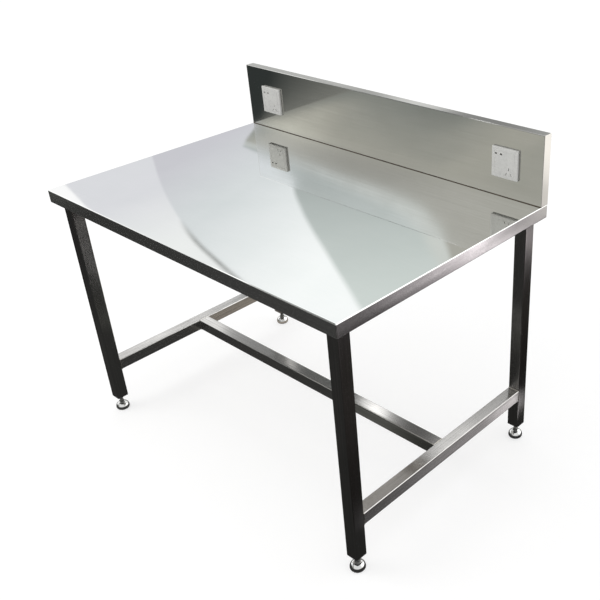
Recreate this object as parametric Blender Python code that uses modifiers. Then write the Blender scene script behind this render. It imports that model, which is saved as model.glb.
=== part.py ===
"""Stainless steel work table with an upstand and two wall sockets.

Metres, +Z up. X runs along the table's length, the user stands at -Y, and the
origin is on the floor under the middle of the table.
"""

import math

import bmesh
import bpy
from mathutils import Matrix

# Whole table
TABLE_LENGTH = 1.200
TABLE_DEPTH = 0.800
WORKTOP_HEIGHT = 0.790
CLEARANCE = 0.0003
CUT_OVERRUN = 0.002
BEND_SEGMENTS = 3
ROUND_SIDES = 24
BORE_SIDES = 16
HEXAGON_SIDES = 6
FOLD_ANGLE = math.radians(30)
QUARTER_TURN = math.radians(90)
FULL_TURN = math.radians(360)
MERGE_DISTANCE = 0.00001
CUBE_SIDE_SHARE = 1.0
UPRIGHT = (0, 0, 1)
ROUND_PROFILE_SHARE = 0.5
ALONG_AXIS_SHARE = 0.5

# Worktop: a folded stainless sheet over a stiffening board
SHEET_THICKNESS = 0.0012
APRON_HEIGHT = 0.038
APRON_RETURN = 0.018
WORKTOP_BEND_RADIUS = 0.0025
BOARD_THICKNESS = 0.015
BOARD_SIDE_GAP = 0.002

# Rails under the board
RAIL_WIDTH = 0.030
RAIL_HEIGHT = 0.020
RAIL_WALL = 0.0012
RAIL_CORNER_RADIUS = 0.0022

# Legs and lower frame
LEG_WIDTH = 0.038
LEG_INSET = 0.024
LEG_WALL = 0.0012
LEG_CORNER_RADIUS = 0.003
STRETCHER_WIDTH = 0.038
STRETCHER_TOP = 0.190
STRETCHER_WALL = 0.0012
STRETCHER_CORNER_RADIUS = 0.003

# Leg insert and lock nut
INSERT_UNDERSIDE = 0.050
INSERT_FLANGE = 0.0025
INSERT_PLUG_HEIGHT = 0.028
NUT_ACROSS_FLATS = 0.019
NUT_HEIGHT = 0.006

# Foot: rubber sole, domed cup, threaded stem
SOLE_RADIUS = 0.0195
SOLE_REBATE_HEIGHT = 0.0022
SOLE_TOP = 0.011
SOLE_RECESS_RADIUS = 0.0095
SOLE_RECESS_FLOOR = 0.005
CUP_RIM_RADIUS = 0.021
CUP_RIM_HEIGHT = 0.0025
CUP_WAIST_RADIUS = 0.0217
CUP_WAIST_HEIGHT = 0.0065
CUP_TOP_RADIUS = 0.0085
CUP_TOP_HEIGHT = 0.0215
CUP_WALL = 0.0015
CUP_SIDES = 28
CUP_STEPS = 6
STEM_PIN_RADIUS = 0.0050
STEM_HEAD_RADIUS = 0.0072
STEM_HEAD_HEIGHT = 0.0022
STEM_COLLAR_ACROSS_FLATS = 0.014
STEM_COLLAR_HEIGHT = 0.0075
STEM_RADIUS = 0.006
STEM_LENGTH = 0.066
STEM_CHAMFER = 0.001

# Upstand
UPSTAND_HEIGHT = 0.200
UPSTAND_DEPTH = 0.030
UPSTAND_THICKNESS = 0.0012
UPSTAND_LIP = 0.020
UPSTAND_FOOT = 0.020
UPSTAND_BEND_RADIUS = 0.002
END_CAP_THICKNESS = 0.0012
END_CAP_RETURN = 0.012
END_CAP_EDGE_SHARE = 0.33
BRACE_FLANGE = 0.015

# Screws that hold the upstand down
UPSTAND_SCREW_COUNT = 4
UPSTAND_SCREW_RADIUS = 0.0025
UPSTAND_SCREW_HEAD_RADIUS = 0.0040
UPSTAND_SCREW_HEAD_HEIGHT = 0.0025
UPSTAND_SCREW_TIP = 0.0037

# Sockets, as places from the middle of the plate
SOCKET_FROM_END = 0.120
PLATE_WIDTH = 0.086
PLATE_PROUD = 0.0085
PLATE_CROWN = 0.0010
PLATE_BORDER = 0.010
PLATE_FACE_WALL = 0.0022
PLATE_SIDE_WALL = 0.0022
PLATE_EDGE_RADIUS = 0.0015
BOX_INSIDE_PLATE = 0.003
BOX_REAR_GAP = 0.0025
BOX_WALL = 0.002
BOX_LUG_HEIGHT = 0.010
BOX_LUG_DEPTH = 0.010
BOX_LUG_PAST_SCREW = 0.00365
CABLE_ENTRY_RADIUS = 0.008
CORE_FLANGE_SIDE_GAP = 0.0018
CORE_FLANGE_SHARE = 0.52
CORE_BODY_SIDE_GAP = 0.003
CORE_BODY_REAR_GAP = 0.0055
CORE_NOTCH_GAP = 0.001
CUTOUT_SIDE_GAP = 0.001
FIXING_INSIDE_CUTOUT = 0.00585
FIXING_RADIUS = 0.002
FIXING_HEAD_RADIUS = 0.0038
FIXING_LENGTH = 0.016

# Pin holes, the earth slot and the two slanted slots
TWO_PIN_ACROSS = -0.0203
TWO_PIN_UP = 0.0237
TWO_PIN_SPACING = 0.0170
TWO_PIN_HOLE_WIDTH = 0.0074
TWO_PIN_HOLE_HEIGHT = 0.0050
OVAL_ROUNDING_SHARE = 0.48
THREE_PIN_ACROSS = 0.0143
THREE_PIN_UP = -0.0285
THREE_PIN_SPACING = 0.0154
THREE_PIN_TILT = math.radians(30)
EARTH_ABOVE = 0.0145
SLOT_LENGTH = 0.0076
SLOT_WIDTH = 0.0023

# Shutter
SHUTTER_MARGIN = 0.0015
SHUTTER_TRAVEL = 0.0045
SHUTTER_GUIDE_HEIGHT = 0.0016

# Contact strips and their jaws
STRIP_WIDTH = 0.005
STRIP_THICKNESS = 0.0008
STRIP_FROM_CORE_BACK = 0.0055
JAW_GAP = 0.0030
JAW_DEPTH = 0.008
JAW_WIDTH = 0.0046
EARTH_TAIL = 0.011
CHANNEL_SIDE = 0.0010

# Places that follow from the sizes above
HALF_LENGTH = TABLE_LENGTH / 2
HALF_DEPTH = TABLE_DEPTH / 2
BOARD_TOP = WORKTOP_HEIGHT - SHEET_THICKNESS - CLEARANCE
BOARD_UNDERSIDE = BOARD_TOP - BOARD_THICKNESS
FRAME_TOP = BOARD_UNDERSIDE - CLEARANCE
TUBE_BOTTOM = INSERT_UNDERSIDE + INSERT_FLANGE + CLEARANCE
LEG_X = HALF_LENGTH - LEG_INSET - LEG_WIDTH / 2
LEG_Y = HALF_DEPTH - LEG_INSET - LEG_WIDTH / 2
LEG_HALF = LEG_WIDTH / 2
UPSTAND_FACE = HALF_DEPTH - UPSTAND_DEPTH
UPSTAND_INSIDE = UPSTAND_FACE + UPSTAND_THICKNESS
UPSTAND_BOTTOM = WORKTOP_HEIGHT + CLEARANCE
UPSTAND_TOP = WORKTOP_HEIGHT + UPSTAND_HEIGHT
UPSTAND_SHELL_END = HALF_LENGTH - END_CAP_THICKNESS - CLEARANCE
UPSTAND_SCREW_Y = UPSTAND_FACE + UPSTAND_FOOT / 2
UPSTAND_SCREW_SPACING = TABLE_LENGTH / UPSTAND_SCREW_COUNT
SOCKET_X = HALF_LENGTH - SOCKET_FROM_END
SOCKET_Z = WORKTOP_HEIGHT + UPSTAND_HEIGHT / 2
PLATE_FRONT = -PLATE_PROUD
PLATE_INSIDE = PLATE_FRONT + PLATE_CROWN + PLATE_FACE_WALL
FLANGE_FRONT = CORE_FLANGE_SHARE * (PLATE_INSIDE + CLEARANCE) - CLEARANCE
BOX_FRONT = UPSTAND_THICKNESS + CLEARANCE
BOX_BACK = UPSTAND_DEPTH - BOX_REAR_GAP
BOX_WIDTH = PLATE_WIDTH - 2 * BOX_INSIDE_PLATE
CORE_FLANGE_WIDTH = PLATE_WIDTH - 2 * (PLATE_SIDE_WALL + CORE_FLANGE_SIDE_GAP)
CORE_BODY_WIDTH = BOX_WIDTH - 2 * (BOX_WALL + CORE_BODY_SIDE_GAP)
CORE_BODY_BACK = BOX_BACK - BOX_WALL - CORE_BODY_REAR_GAP
CUTOUT_WIDTH = CORE_BODY_WIDTH + 2 * CUTOUT_SIDE_GAP
FIXING_ACROSS = CUTOUT_WIDTH / 2 - FIXING_INSIDE_CUTOUT
BOX_LUG_START = FIXING_ACROSS - BOX_LUG_PAST_SCREW
CORE_NOTCH_START = BOX_LUG_START - CORE_NOTCH_GAP
CORE_NOTCH_HEIGHT = BOX_LUG_HEIGHT + 2 * CORE_NOTCH_GAP
STRIP_FRONT = CORE_BODY_BACK - STRIP_FROM_CORE_BACK
STRIP_BACK = STRIP_FRONT + STRIP_THICKNESS
JAW_FRONT = STRIP_FRONT - JAW_DEPTH
EARTH_UP = THREE_PIN_UP + EARTH_ABOVE
LIVE_RUN_ACROSS = THREE_PIN_ACROSS + THREE_PIN_SPACING / 2
SHUTTER_ACROSS = THREE_PIN_ACROSS - SHUTTER_TRAVEL / 2
SHUTTER_WIDTH = THREE_PIN_SPACING + SLOT_LENGTH + SHUTTER_TRAVEL + 2 * SHUTTER_MARGIN
SHUTTER_HEIGHT = EARTH_ABOVE + SLOT_LENGTH + 2 * SHUTTER_MARGIN
SHUTTER_UP = (THREE_PIN_UP + EARTH_UP) / 2

CORNERS = {
    "front_left": (-1, -1),
    "front_right": (1, -1),
    "rear_left": (-1, 1),
    "rear_right": (1, 1),
}


def clear_scene():
    for obj in list(bpy.data.objects):
        bpy.data.objects.remove(obj, do_unlink=True)


def new_collection(name):
    collection = bpy.data.collections.new(name)
    bpy.context.scene.collection.children.link(collection)
    return collection


def make_material(name, color, metallic, roughness):
    material = bpy.data.materials.new(name)
    material.use_nodes = True
    shader = material.node_tree.nodes["Principled BSDF"]
    shader.inputs["Base Color"].default_value = (*color, 1.0)
    shader.inputs["Metallic"].default_value = metallic
    shader.inputs["Roughness"].default_value = roughness
    return material


clear_scene()
TABLE = new_collection("work_table")
CUTTERS = new_collection("cutters")
CUTTERS.hide_render = True

MATERIALS = {
    "polished_steel": make_material("polished_steel", (0.72, 0.73, 0.72), 1.0, 0.12),
    "brushed_steel": make_material("brushed_steel", (0.60, 0.59, 0.57), 1.0, 0.30),
    "frame_steel": make_material("frame_steel", (0.52, 0.51, 0.50), 1.0, 0.28),
    "board": make_material("board", (0.55, 0.42, 0.28), 0.0, 0.70),
    "insert_nylon": make_material("insert_nylon", (0.03, 0.03, 0.03), 0.0, 0.50),
    "zinc": make_material("zinc", (0.62, 0.63, 0.64), 1.0, 0.35),
    "chrome": make_material("chrome", (0.80, 0.80, 0.80), 1.0, 0.08),
    "rubber": make_material("rubber", (0.02, 0.02, 0.02), 0.0, 0.80),
    "white_plastic": make_material("white_plastic", (0.78, 0.78, 0.76), 0.0, 0.25),
    "core_plastic": make_material("core_plastic", (0.70, 0.70, 0.68), 0.0, 0.45),
    "galvanised": make_material("galvanised", (0.55, 0.57, 0.58), 1.0, 0.45),
    "brass": make_material("brass", (0.75, 0.55, 0.25), 1.0, 0.30),
}


def add_empty(name, location):
    empty = bpy.data.objects.new(name, None)
    empty.location = location
    TABLE.objects.link(empty)
    return empty


def add_mesh(name, shape, location, parent, material):
    """Turns the bmesh into an object; one with no material is a cutter."""
    mesh = bpy.data.meshes.new(name)
    shape.to_mesh(mesh)
    shape.free()
    obj = bpy.data.objects.new(name, mesh)
    obj.location = location
    obj.parent = parent
    if material is None:
        CUTTERS.objects.link(obj)
        obj.hide_render = True
        obj.display_type = "WIRE"
    else:
        TABLE.objects.link(obj)
        mesh.materials.append(MATERIALS[material])
    return obj


def cuboid(size, open_along=None, round_along=None, radius=0.0):
    """A box round the origin: edges along one axis, or all, can be rounded and one axis's ends left out."""
    shape = bmesh.new()
    bmesh.ops.create_cube(shape, size=CUBE_SIDE_SHARE)
    bmesh.ops.scale(shape, vec=size, verts=shape.verts)
    if open_along is not None:
        ends = [face for face in shape.faces if abs(face.normal[open_along]) > ALONG_AXIS_SHARE]
        bmesh.ops.delete(shape, geom=ends, context="FACES_ONLY")
    if round_along is not None:
        edges = [edge for edge in shape.edges if round_along == "all" or runs_along(edge, round_along)]
        bmesh.ops.bevel(
            shape,
            geom=edges,
            offset=radius,
            segments=BEND_SEGMENTS,
            profile=ROUND_PROFILE_SHARE,
            affect="EDGES",
        )
    return shape


def runs_along(edge, axis):
    direction = edge.verts[1].co - edge.verts[0].co
    return abs(direction[axis]) > ALONG_AXIS_SHARE * direction.length


def middle_and_size(low, high):
    middle = [(a + b) / 2 for a, b in zip(low, high)]
    size = [b - a for a, b in zip(low, high)]
    return middle, size


def block(name, low, high, parent=None, material=None, round_along=None, radius=0.0):
    middle, size = middle_and_size(low, high)
    shape = cuboid(size, round_along=round_along, radius=radius)
    return add_mesh(name, shape, middle, parent, material)


def square_tube(name, low, high, axis, wall, radius, material):
    """An open-ended tube that fills the box between two corners and runs along one axis."""
    middle, size = middle_and_size(low, high)
    shape = cuboid(size, open_along=axis, round_along=axis, radius=radius)
    obj = add_mesh(name, shape, middle, None, material)
    thicken(obj, wall)
    return obj


def thicken(obj, wall):
    solidify = obj.modifiers.new("wall", "SOLIDIFY")
    solidify.thickness = wall
    solidify.use_even_offset = True


def round_folds(obj, radius):
    bevel = obj.modifiers.new("folds", "BEVEL")
    bevel.width = radius
    bevel.segments = BEND_SEGMENTS
    bevel.limit_method = "ANGLE"
    bevel.angle_limit = FOLD_ANGLE


def shade_round(obj):
    """Shades the round faces smooth and keeps the edges between them and the flat ones sharp."""
    obj.data.shade_smooth()
    obj.data.set_sharp_from_angle(angle=FOLD_ANGLE)
    return obj


def prism(name, radius, low, high, sides, parent=None, material=None, axis="z", centre=(0, 0)):
    """A cylinder, or with six sides a hexagon, between two places along an axis."""
    shape = bmesh.new()
    bmesh.ops.create_cone(
        shape, cap_ends=True, segments=sides, radius1=radius, radius2=radius, depth=high - low
    )
    level = (low + high) / 2
    location = (centre[0], centre[1], level)
    if axis == "y":
        bmesh.ops.rotate(shape, matrix=Matrix.Rotation(QUARTER_TURN, 3, "X"), verts=shape.verts)
        location = (centre[0], level, centre[1])
    return shade_round(add_mesh(name, shape, location, parent, material))


def turned(name, profile, sides, parent, material, closed=False):
    """A profile of (radius, height) points turned round the Z axis."""
    shape = bmesh.new()
    points = [shape.verts.new((radius, 0, height)) for radius, height in profile]
    edges = [shape.edges.new(pair) for pair in zip(points, points[1:])]
    if closed:
        edges.append(shape.edges.new((points[-1], points[0])))
    bmesh.ops.spin(
        shape, geom=points + edges, axis=UPRIGHT, angle=FULL_TURN, steps=sides, use_merge=True
    )
    bmesh.ops.remove_doubles(shape, verts=shape.verts, dist=MERGE_DISTANCE)
    bmesh.ops.recalc_face_normals(shape, faces=shape.faces)
    return shade_round(add_mesh(name, shape, (0, 0, 0), parent, material))


def combine(obj, others, operation):
    """Cuts the others from the object, or joins them to it."""
    for other in others:
        boolean = obj.modifiers.new(operation.lower(), "BOOLEAN")
        boolean.operation = operation
        boolean.solver = "EXACT"
        boolean.object = other
    return obj


def cut(obj, *others):
    return combine(obj, others, "DIFFERENCE")


def join(obj, *others):
    return combine(obj, others, "UNION")


def bore_radius(radius, sides=BORE_SIDES):
    """The radius of a faceted bore whose flats clear a round shaft."""
    return (radius + CLEARANCE) / math.cos(math.pi / sides)


def hexagon_radius(across_flats):
    return across_flats / 2 / math.cos(math.pi / HEXAGON_SIDES)


def make_worktop():
    """The pan: a top, four aprons and their inward returns, folded from one sheet."""
    size = (TABLE_LENGTH, TABLE_DEPTH, APRON_HEIGHT)
    shape = bmesh.new()
    bmesh.ops.create_cube(shape, size=CUBE_SIDE_SHARE)
    bmesh.ops.scale(shape, vec=size, verts=shape.verts)
    underside = [face for face in shape.faces if face.normal.z < -ALONG_AXIS_SHARE]
    rim = list(underside[0].edges)
    bmesh.ops.delete(shape, geom=underside, context="FACES_ONLY")
    returned = bmesh.ops.extrude_edge_only(shape, edges=rim)["geom"]
    for vertex in returned:
        if isinstance(vertex, bmesh.types.BMVert):
            vertex.co.x -= math.copysign(APRON_RETURN, vertex.co.x)
            vertex.co.y -= math.copysign(APRON_RETURN, vertex.co.y)
    middle = (0, 0, WORKTOP_HEIGHT - APRON_HEIGHT / 2)
    sheet = add_mesh("worktop_sheet", shape, middle, None, "polished_steel")
    round_folds(sheet, WORKTOP_BEND_RADIUS)
    thicken(sheet, SHEET_THICKNESS)
    side = SHEET_THICKNESS + BOARD_SIDE_GAP
    board = block(
        "worktop_board",
        (side - HALF_LENGTH, side - HALF_DEPTH, BOARD_UNDERSIDE),
        (HALF_LENGTH - side, HALF_DEPTH - side, BOARD_TOP),
        material="board",
    )
    return sheet, board


def make_rails():
    """Flat tubes between the legs, and one across the middle between the long rails."""
    half = RAIL_WIDTH / 2
    low = FRAME_TOP - RAIL_HEIGHT
    inner_x = LEG_X - LEG_HALF - CLEARANCE
    inner_y = LEG_Y - LEG_HALF - CLEARANCE
    bearer_y = LEG_Y - half - CLEARANCE
    tubes = [
        ("front_rail", (-inner_x, -LEG_Y - half), (inner_x, half - LEG_Y), 0),
        ("rear_rail", (-inner_x, LEG_Y - half), (inner_x, LEG_Y + half), 0),
        ("left_rail", (-LEG_X - half, -inner_y), (half - LEG_X, inner_y), 1),
        ("right_rail", (LEG_X - half, -inner_y), (LEG_X + half, inner_y), 1),
        ("cross_bearer", (-half, -bearer_y), (half, bearer_y), 1),
    ]
    for name, start, end, axis in tubes:
        square_tube(
            name, (*start, low), (*end, FRAME_TOP), axis, RAIL_WALL, RAIL_CORNER_RADIUS, "frame_steel"
        )


def make_legs():
    for corner, (side_x, side_y) in CORNERS.items():
        x = side_x * LEG_X
        y = side_y * LEG_Y
        square_tube(
            "leg_" + corner,
            (x - LEG_HALF, y - LEG_HALF, TUBE_BOTTOM),
            (x + LEG_HALF, y + LEG_HALF, FRAME_TOP),
            2,
            LEG_WALL,
            LEG_CORNER_RADIUS,
            "frame_steel",
        )


def make_stretchers():
    """The H frame: a tube between each pair of end legs and one between these two."""
    half = STRETCHER_WIDTH / 2
    low = STRETCHER_TOP - STRETCHER_WIDTH
    reach_y = LEG_Y - LEG_HALF - CLEARANCE
    reach_x = LEG_X - half - CLEARANCE
    tubes = [
        ("side_stretcher_left", (-LEG_X - half, -reach_y), (half - LEG_X, reach_y), 1),
        ("side_stretcher_right", (LEG_X - half, -reach_y), (LEG_X + half, reach_y), 1),
        ("centre_stretcher", (-reach_x, -half), (reach_x, half), 0),
    ]
    for name, start, end, axis in tubes:
        square_tube(
            name,
            (*start, low),
            (*end, STRETCHER_TOP),
            axis,
            STRETCHER_WALL,
            STRETCHER_CORNER_RADIUS,
            "frame_steel",
        )


def make_insert(corner, axis_empty):
    """The plug in the leg's end: a flange under the tube, a block inside it and the foot's bore."""
    plug_half = LEG_HALF - LEG_WALL - CLEARANCE
    flange_top = INSERT_UNDERSIDE + INSERT_FLANGE
    plug_top = flange_top + INSERT_PLUG_HEIGHT
    insert = block(
        "leg_insert_" + corner,
        (-LEG_HALF, -LEG_HALF, INSERT_UNDERSIDE),
        (LEG_HALF, LEG_HALF, flange_top),
        axis_empty,
        "insert_nylon",
        round_along=2,
        radius=LEG_CORNER_RADIUS,
    )
    plug = block(
        "insert_plug_" + corner,
        (-plug_half, -plug_half, flange_top - INSERT_FLANGE / 2),
        (plug_half, plug_half, plug_top),
        axis_empty,
        round_along=2,
        radius=LEG_CORNER_RADIUS,
    )
    bore = prism(
        "insert_bore_" + corner,
        bore_radius(STEM_RADIUS, ROUND_SIDES),
        INSERT_UNDERSIDE - CUT_OVERRUN,
        plug_top + CUT_OVERRUN,
        ROUND_SIDES,
        axis_empty,
    )
    join(insert, plug)
    cut(insert, bore)


def make_lock_nut(corner, axis_empty):
    top = INSERT_UNDERSIDE - CLEARANCE
    low = top - NUT_HEIGHT
    radius = hexagon_radius(NUT_ACROSS_FLATS)
    nut = prism("lock_nut_" + corner, radius, low, top, HEXAGON_SIDES, axis_empty, "zinc")
    bore = prism(
        "nut_bore_" + corner,
        bore_radius(STEM_RADIUS, ROUND_SIDES),
        low - CUT_OVERRUN,
        top + CUT_OVERRUN,
        ROUND_SIDES,
        axis_empty,
    )
    cut(nut, bore)


def make_stem(corner, axis_empty):
    """From the top down: threaded shank, hexagon collar, pin through the cup and its riveted head."""
    collar_low = CUP_TOP_HEIGHT + CLEARANCE
    collar_high = collar_low + STEM_COLLAR_HEIGHT
    head_high = CUP_TOP_HEIGHT - CUP_WALL - CLEARANCE
    head_low = head_high - STEM_HEAD_HEIGHT
    top = collar_high + STEM_LENGTH
    collar_middle = (collar_low + collar_high) / 2
    profile = [
        (0, top),
        (STEM_RADIUS - STEM_CHAMFER, top),
        (STEM_RADIUS, top - STEM_CHAMFER),
        (STEM_RADIUS, collar_middle),
        (STEM_PIN_RADIUS, collar_middle),
        (STEM_PIN_RADIUS, head_high),
        (STEM_HEAD_RADIUS, head_high),
        (STEM_HEAD_RADIUS, head_low),
        (0, head_low),
    ]
    stem = turned("foot_stem_" + corner, profile, ROUND_SIDES, axis_empty, "zinc")
    collar = prism(
        "stem_collar_" + corner,
        hexagon_radius(STEM_COLLAR_ACROSS_FLATS),
        collar_low,
        collar_high,
        HEXAGON_SIDES,
        axis_empty,
    )
    join(stem, collar)


def cup_arc(radius_in, step):
    """A point on the cup's shoulder: a quarter of an ellipse from its waist up to its flat top."""
    angle = QUARTER_TURN * step / CUP_STEPS
    across = (CUP_WAIST_RADIUS - CUP_TOP_RADIUS) * math.cos(angle)
    rise = (CUP_TOP_HEIGHT - CUP_WAIST_HEIGHT) * math.sin(angle)
    inset_across = radius_in * math.cos(angle)
    inset_rise = radius_in * math.sin(angle)
    return CUP_TOP_RADIUS + across - inset_across, CUP_WAIST_HEIGHT + rise - inset_rise


def make_cup(corner, axis_empty):
    """A domed shell, open below, with a hole in its top for the stem's pin."""
    hole = bore_radius(STEM_PIN_RADIUS, CUP_SIDES)
    outside = [(hole, CUP_TOP_HEIGHT)]
    outside += [cup_arc(0, step) for step in range(CUP_STEPS, -1, -1)]
    outside.append((CUP_RIM_RADIUS, CUP_RIM_HEIGHT))
    inside = [(CUP_RIM_RADIUS - CUP_WALL, CUP_RIM_HEIGHT)]
    inside += [cup_arc(CUP_WALL, step) for step in range(CUP_STEPS + 1)]
    inside.append((hole, CUP_TOP_HEIGHT - CUP_WALL))
    turned("foot_cup_" + corner, outside + inside, CUP_SIDES, axis_empty, "chrome", closed=True)


def make_sole(corner, axis_empty):
    """A rubber disc on the floor whose upper part sits in the cup, with a recess for the riveted head."""
    inner = CUP_RIM_RADIUS - CUP_WALL - CLEARANCE
    rebate = SOLE_REBATE_HEIGHT
    profile = [
        (SOLE_RECESS_RADIUS, SOLE_TOP),
        (inner - CUP_WALL, SOLE_TOP),
        (inner, rebate + CUP_WALL),
        (inner, rebate),
        (SOLE_RADIUS, rebate),
        (SOLE_RADIUS, 0),
        (0, 0),
    ]
    recess = [(0, SOLE_RECESS_FLOOR), (SOLE_RECESS_RADIUS, SOLE_RECESS_FLOOR)]
    turned("foot_sole_" + corner, recess + profile, CUP_SIDES, axis_empty, "rubber")


def make_feet():
    for corner, (side_x, side_y) in CORNERS.items():
        location = (side_x * LEG_X, side_y * LEG_Y, 0)
        axis_empty = add_empty("foot_axis_" + corner, location)
        make_insert(corner, axis_empty)
        make_lock_nut(corner, axis_empty)
        make_stem(corner, axis_empty)
        make_cup(corner, axis_empty)
        make_sole(corner, axis_empty)


def folded_sheet(name, outline, pull, thickness, bend_radius):
    """A sheet folded from an open outline that is pulled out straight; it thickens to the outline's left."""
    shape = bmesh.new()
    points = [shape.verts.new(point) for point in outline]
    folds = [shape.edges.new(pair) for pair in zip(points, points[1:])]
    pulled = bmesh.ops.extrude_edge_only(shape, edges=folds)["geom"]
    moved = [vertex for vertex in pulled if isinstance(vertex, bmesh.types.BMVert)]
    bmesh.ops.translate(shape, vec=pull, verts=moved)
    sheet = add_mesh(name, shape, (0, 0, 0), None, "brushed_steel")
    round_folds(sheet, bend_radius)
    thicken(sheet, thickness)
    return sheet


def make_upstand():
    """The folded shell (foot, face, top return and rear lip), its two end caps and its stay."""
    lip_bottom = UPSTAND_TOP - UPSTAND_LIP
    foot_end = UPSTAND_FACE + UPSTAND_FOOT
    outline = [
        (foot_end, UPSTAND_BOTTOM),
        (UPSTAND_FACE, UPSTAND_BOTTOM),
        (UPSTAND_FACE, UPSTAND_TOP),
        (HALF_DEPTH, UPSTAND_TOP),
        (HALF_DEPTH, lip_bottom),
    ]
    shell = folded_sheet(
        "upstand_shell",
        [(-UPSTAND_SHELL_END, y, z) for y, z in outline],
        (2 * UPSTAND_SHELL_END, 0, 0),
        UPSTAND_THICKNESS,
        UPSTAND_BEND_RADIUS,
    )
    for side, direction in (("left", -1), ("right", 1)):
        make_end_cap(side, direction)
    make_brace()
    return shell


def make_end_cap(side, direction):
    """A plate over the shell's end with a return along its rear edge, below the shell's lip."""
    outer = HALF_LENGTH
    inner = HALF_LENGTH - END_CAP_THICKNESS
    return_end = inner - END_CAP_RETURN
    return_top = UPSTAND_TOP - UPSTAND_LIP - CLEARANCE
    plate_x = sorted((direction * inner, direction * outer))
    return_x = sorted((direction * return_end, direction * (inner + END_CAP_THICKNESS / 2)))
    plate = block(
        "upstand_end_" + side,
        (plate_x[0], UPSTAND_FACE, UPSTAND_BOTTOM),
        (plate_x[1], HALF_DEPTH, UPSTAND_TOP),
        material="brushed_steel",
        round_along="all",
        radius=END_CAP_EDGE_SHARE * END_CAP_THICKNESS,
    )
    rear_return = block(
        "end_return_" + side,
        (return_x[0], HALF_DEPTH - END_CAP_THICKNESS, UPSTAND_BOTTOM + END_CAP_THICKNESS),
        (return_x[1], HALF_DEPTH, return_top),
    )
    join(plate, rear_return)


def make_brace():
    """A folded stay between the face and the rear lip: a flange against the face and a web."""
    low = UPSTAND_BOTTOM + UPSTAND_THICKNESS + CLEARANCE
    high = UPSTAND_TOP - UPSTAND_THICKNESS - CLEARANCE
    front = UPSTAND_INSIDE + CLEARANCE
    back = HALF_DEPTH - UPSTAND_THICKNESS - CLEARANCE
    outline = [(BRACE_FLANGE, front), (0, front), (0, back)]
    folded_sheet(
        "upstand_brace",
        [(x, y, low) for x, y in outline],
        (0, 0, high - low),
        UPSTAND_THICKNESS,
        UPSTAND_BEND_RADIUS,
    )


def make_upstand_screws(sheet, board, shell):
    """Screws sunk into the board from below; they pass it, the worktop and the upstand's foot."""
    head_low = BOARD_UNDERSIDE + CLEARANCE
    head_top = head_low + UPSTAND_SCREW_HEAD_HEIGHT
    tip = UPSTAND_BOTTOM + UPSTAND_THICKNESS + UPSTAND_SCREW_TIP
    first = -UPSTAND_SCREW_SPACING * (UPSTAND_SCREW_COUNT - 1) / 2
    for index in range(UPSTAND_SCREW_COUNT):
        number = str(index + 1)
        x = first + index * UPSTAND_SCREW_SPACING
        axis_empty = add_empty("upstand_screw_axis_" + number, (x, UPSTAND_SCREW_Y, 0))
        profile = [
            (0, tip),
            (UPSTAND_SCREW_RADIUS, tip),
            (UPSTAND_SCREW_RADIUS, head_top),
            (UPSTAND_SCREW_HEAD_RADIUS, head_top),
            (UPSTAND_SCREW_HEAD_RADIUS, (head_top + head_low) / 2),
            (UPSTAND_SCREW_RADIUS, head_low),
            (0, head_low),
        ]
        turned("upstand_screw_" + number, profile, BORE_SIDES, axis_empty, "zinc")
        hole = prism(
            "upstand_screw_hole_" + number,
            bore_radius(UPSTAND_SCREW_RADIUS),
            BOARD_UNDERSIDE - CUT_OVERRUN,
            UPSTAND_BOTTOM + UPSTAND_THICKNESS + CUT_OVERRUN,
            BORE_SIDES,
            axis_empty,
        )
        sinking = prism(
            "upstand_screw_sinking_" + number,
            bore_radius(UPSTAND_SCREW_HEAD_RADIUS),
            BOARD_UNDERSIDE - CUT_OVERRUN,
            head_top + CLEARANCE,
            BORE_SIDES,
            axis_empty,
        )
        for holed in (sheet, board, shell):
            cut(holed, hole)
        cut(board, sinking)


def centred_block(name, across, up, width, height, front, back, parent, material=None):
    """A block in the socket's own frame: across the plate, up it, and a depth behind the upstand's face."""
    return block(
        name,
        (across - width / 2, front, up - height / 2),
        (across + width / 2, back, up + height / 2),
        parent,
        material,
    )


def tilted_slot(name, across, up, width, height, front, back, tilt, parent):
    cutter = centred_block(name, 0, 0, width, height, front, back, parent)
    cutter.location.x = across
    cutter.location.z = up
    cutter.rotation_euler = (0, tilt, 0)
    return cutter


def three_slots(prefix, shift, front, back, growth, parent):
    """The earth slot and the two slanted slots, moved sideways by shift and grown by growth."""
    width = SLOT_WIDTH + growth
    length = SLOT_LENGTH + growth
    half = THREE_PIN_SPACING / 2
    places = [
        ("earth", THREE_PIN_ACROSS, EARTH_UP, 0),
        ("neutral", THREE_PIN_ACROSS - half, THREE_PIN_UP, THREE_PIN_TILT),
        ("live", THREE_PIN_ACROSS + half, THREE_PIN_UP, -THREE_PIN_TILT),
    ]
    return [
        tilted_slot(prefix + name, across + shift, up, width, length, front, back, tilt, parent)
        for name, across, up, tilt in places
    ]


def two_pin_places():
    half = TWO_PIN_SPACING / 2
    return (("neutral", TWO_PIN_ACROSS - half), ("live", TWO_PIN_ACROSS + half))


def round_ended_hole(name, across, up, front, back, parent):
    """A short oval hole: a box with its edges along the depth rounded to half its height."""
    middle, size = middle_and_size(
        (across - TWO_PIN_HOLE_WIDTH / 2, front, up - TWO_PIN_HOLE_HEIGHT / 2),
        (across + TWO_PIN_HOLE_WIDTH / 2, back, up + TWO_PIN_HOLE_HEIGHT / 2),
    )
    shape = cuboid(size, round_along=1, radius=OVAL_ROUNDING_SHARE * TWO_PIN_HOLE_HEIGHT)
    return add_mesh(name, shape, middle, parent, None)


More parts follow.
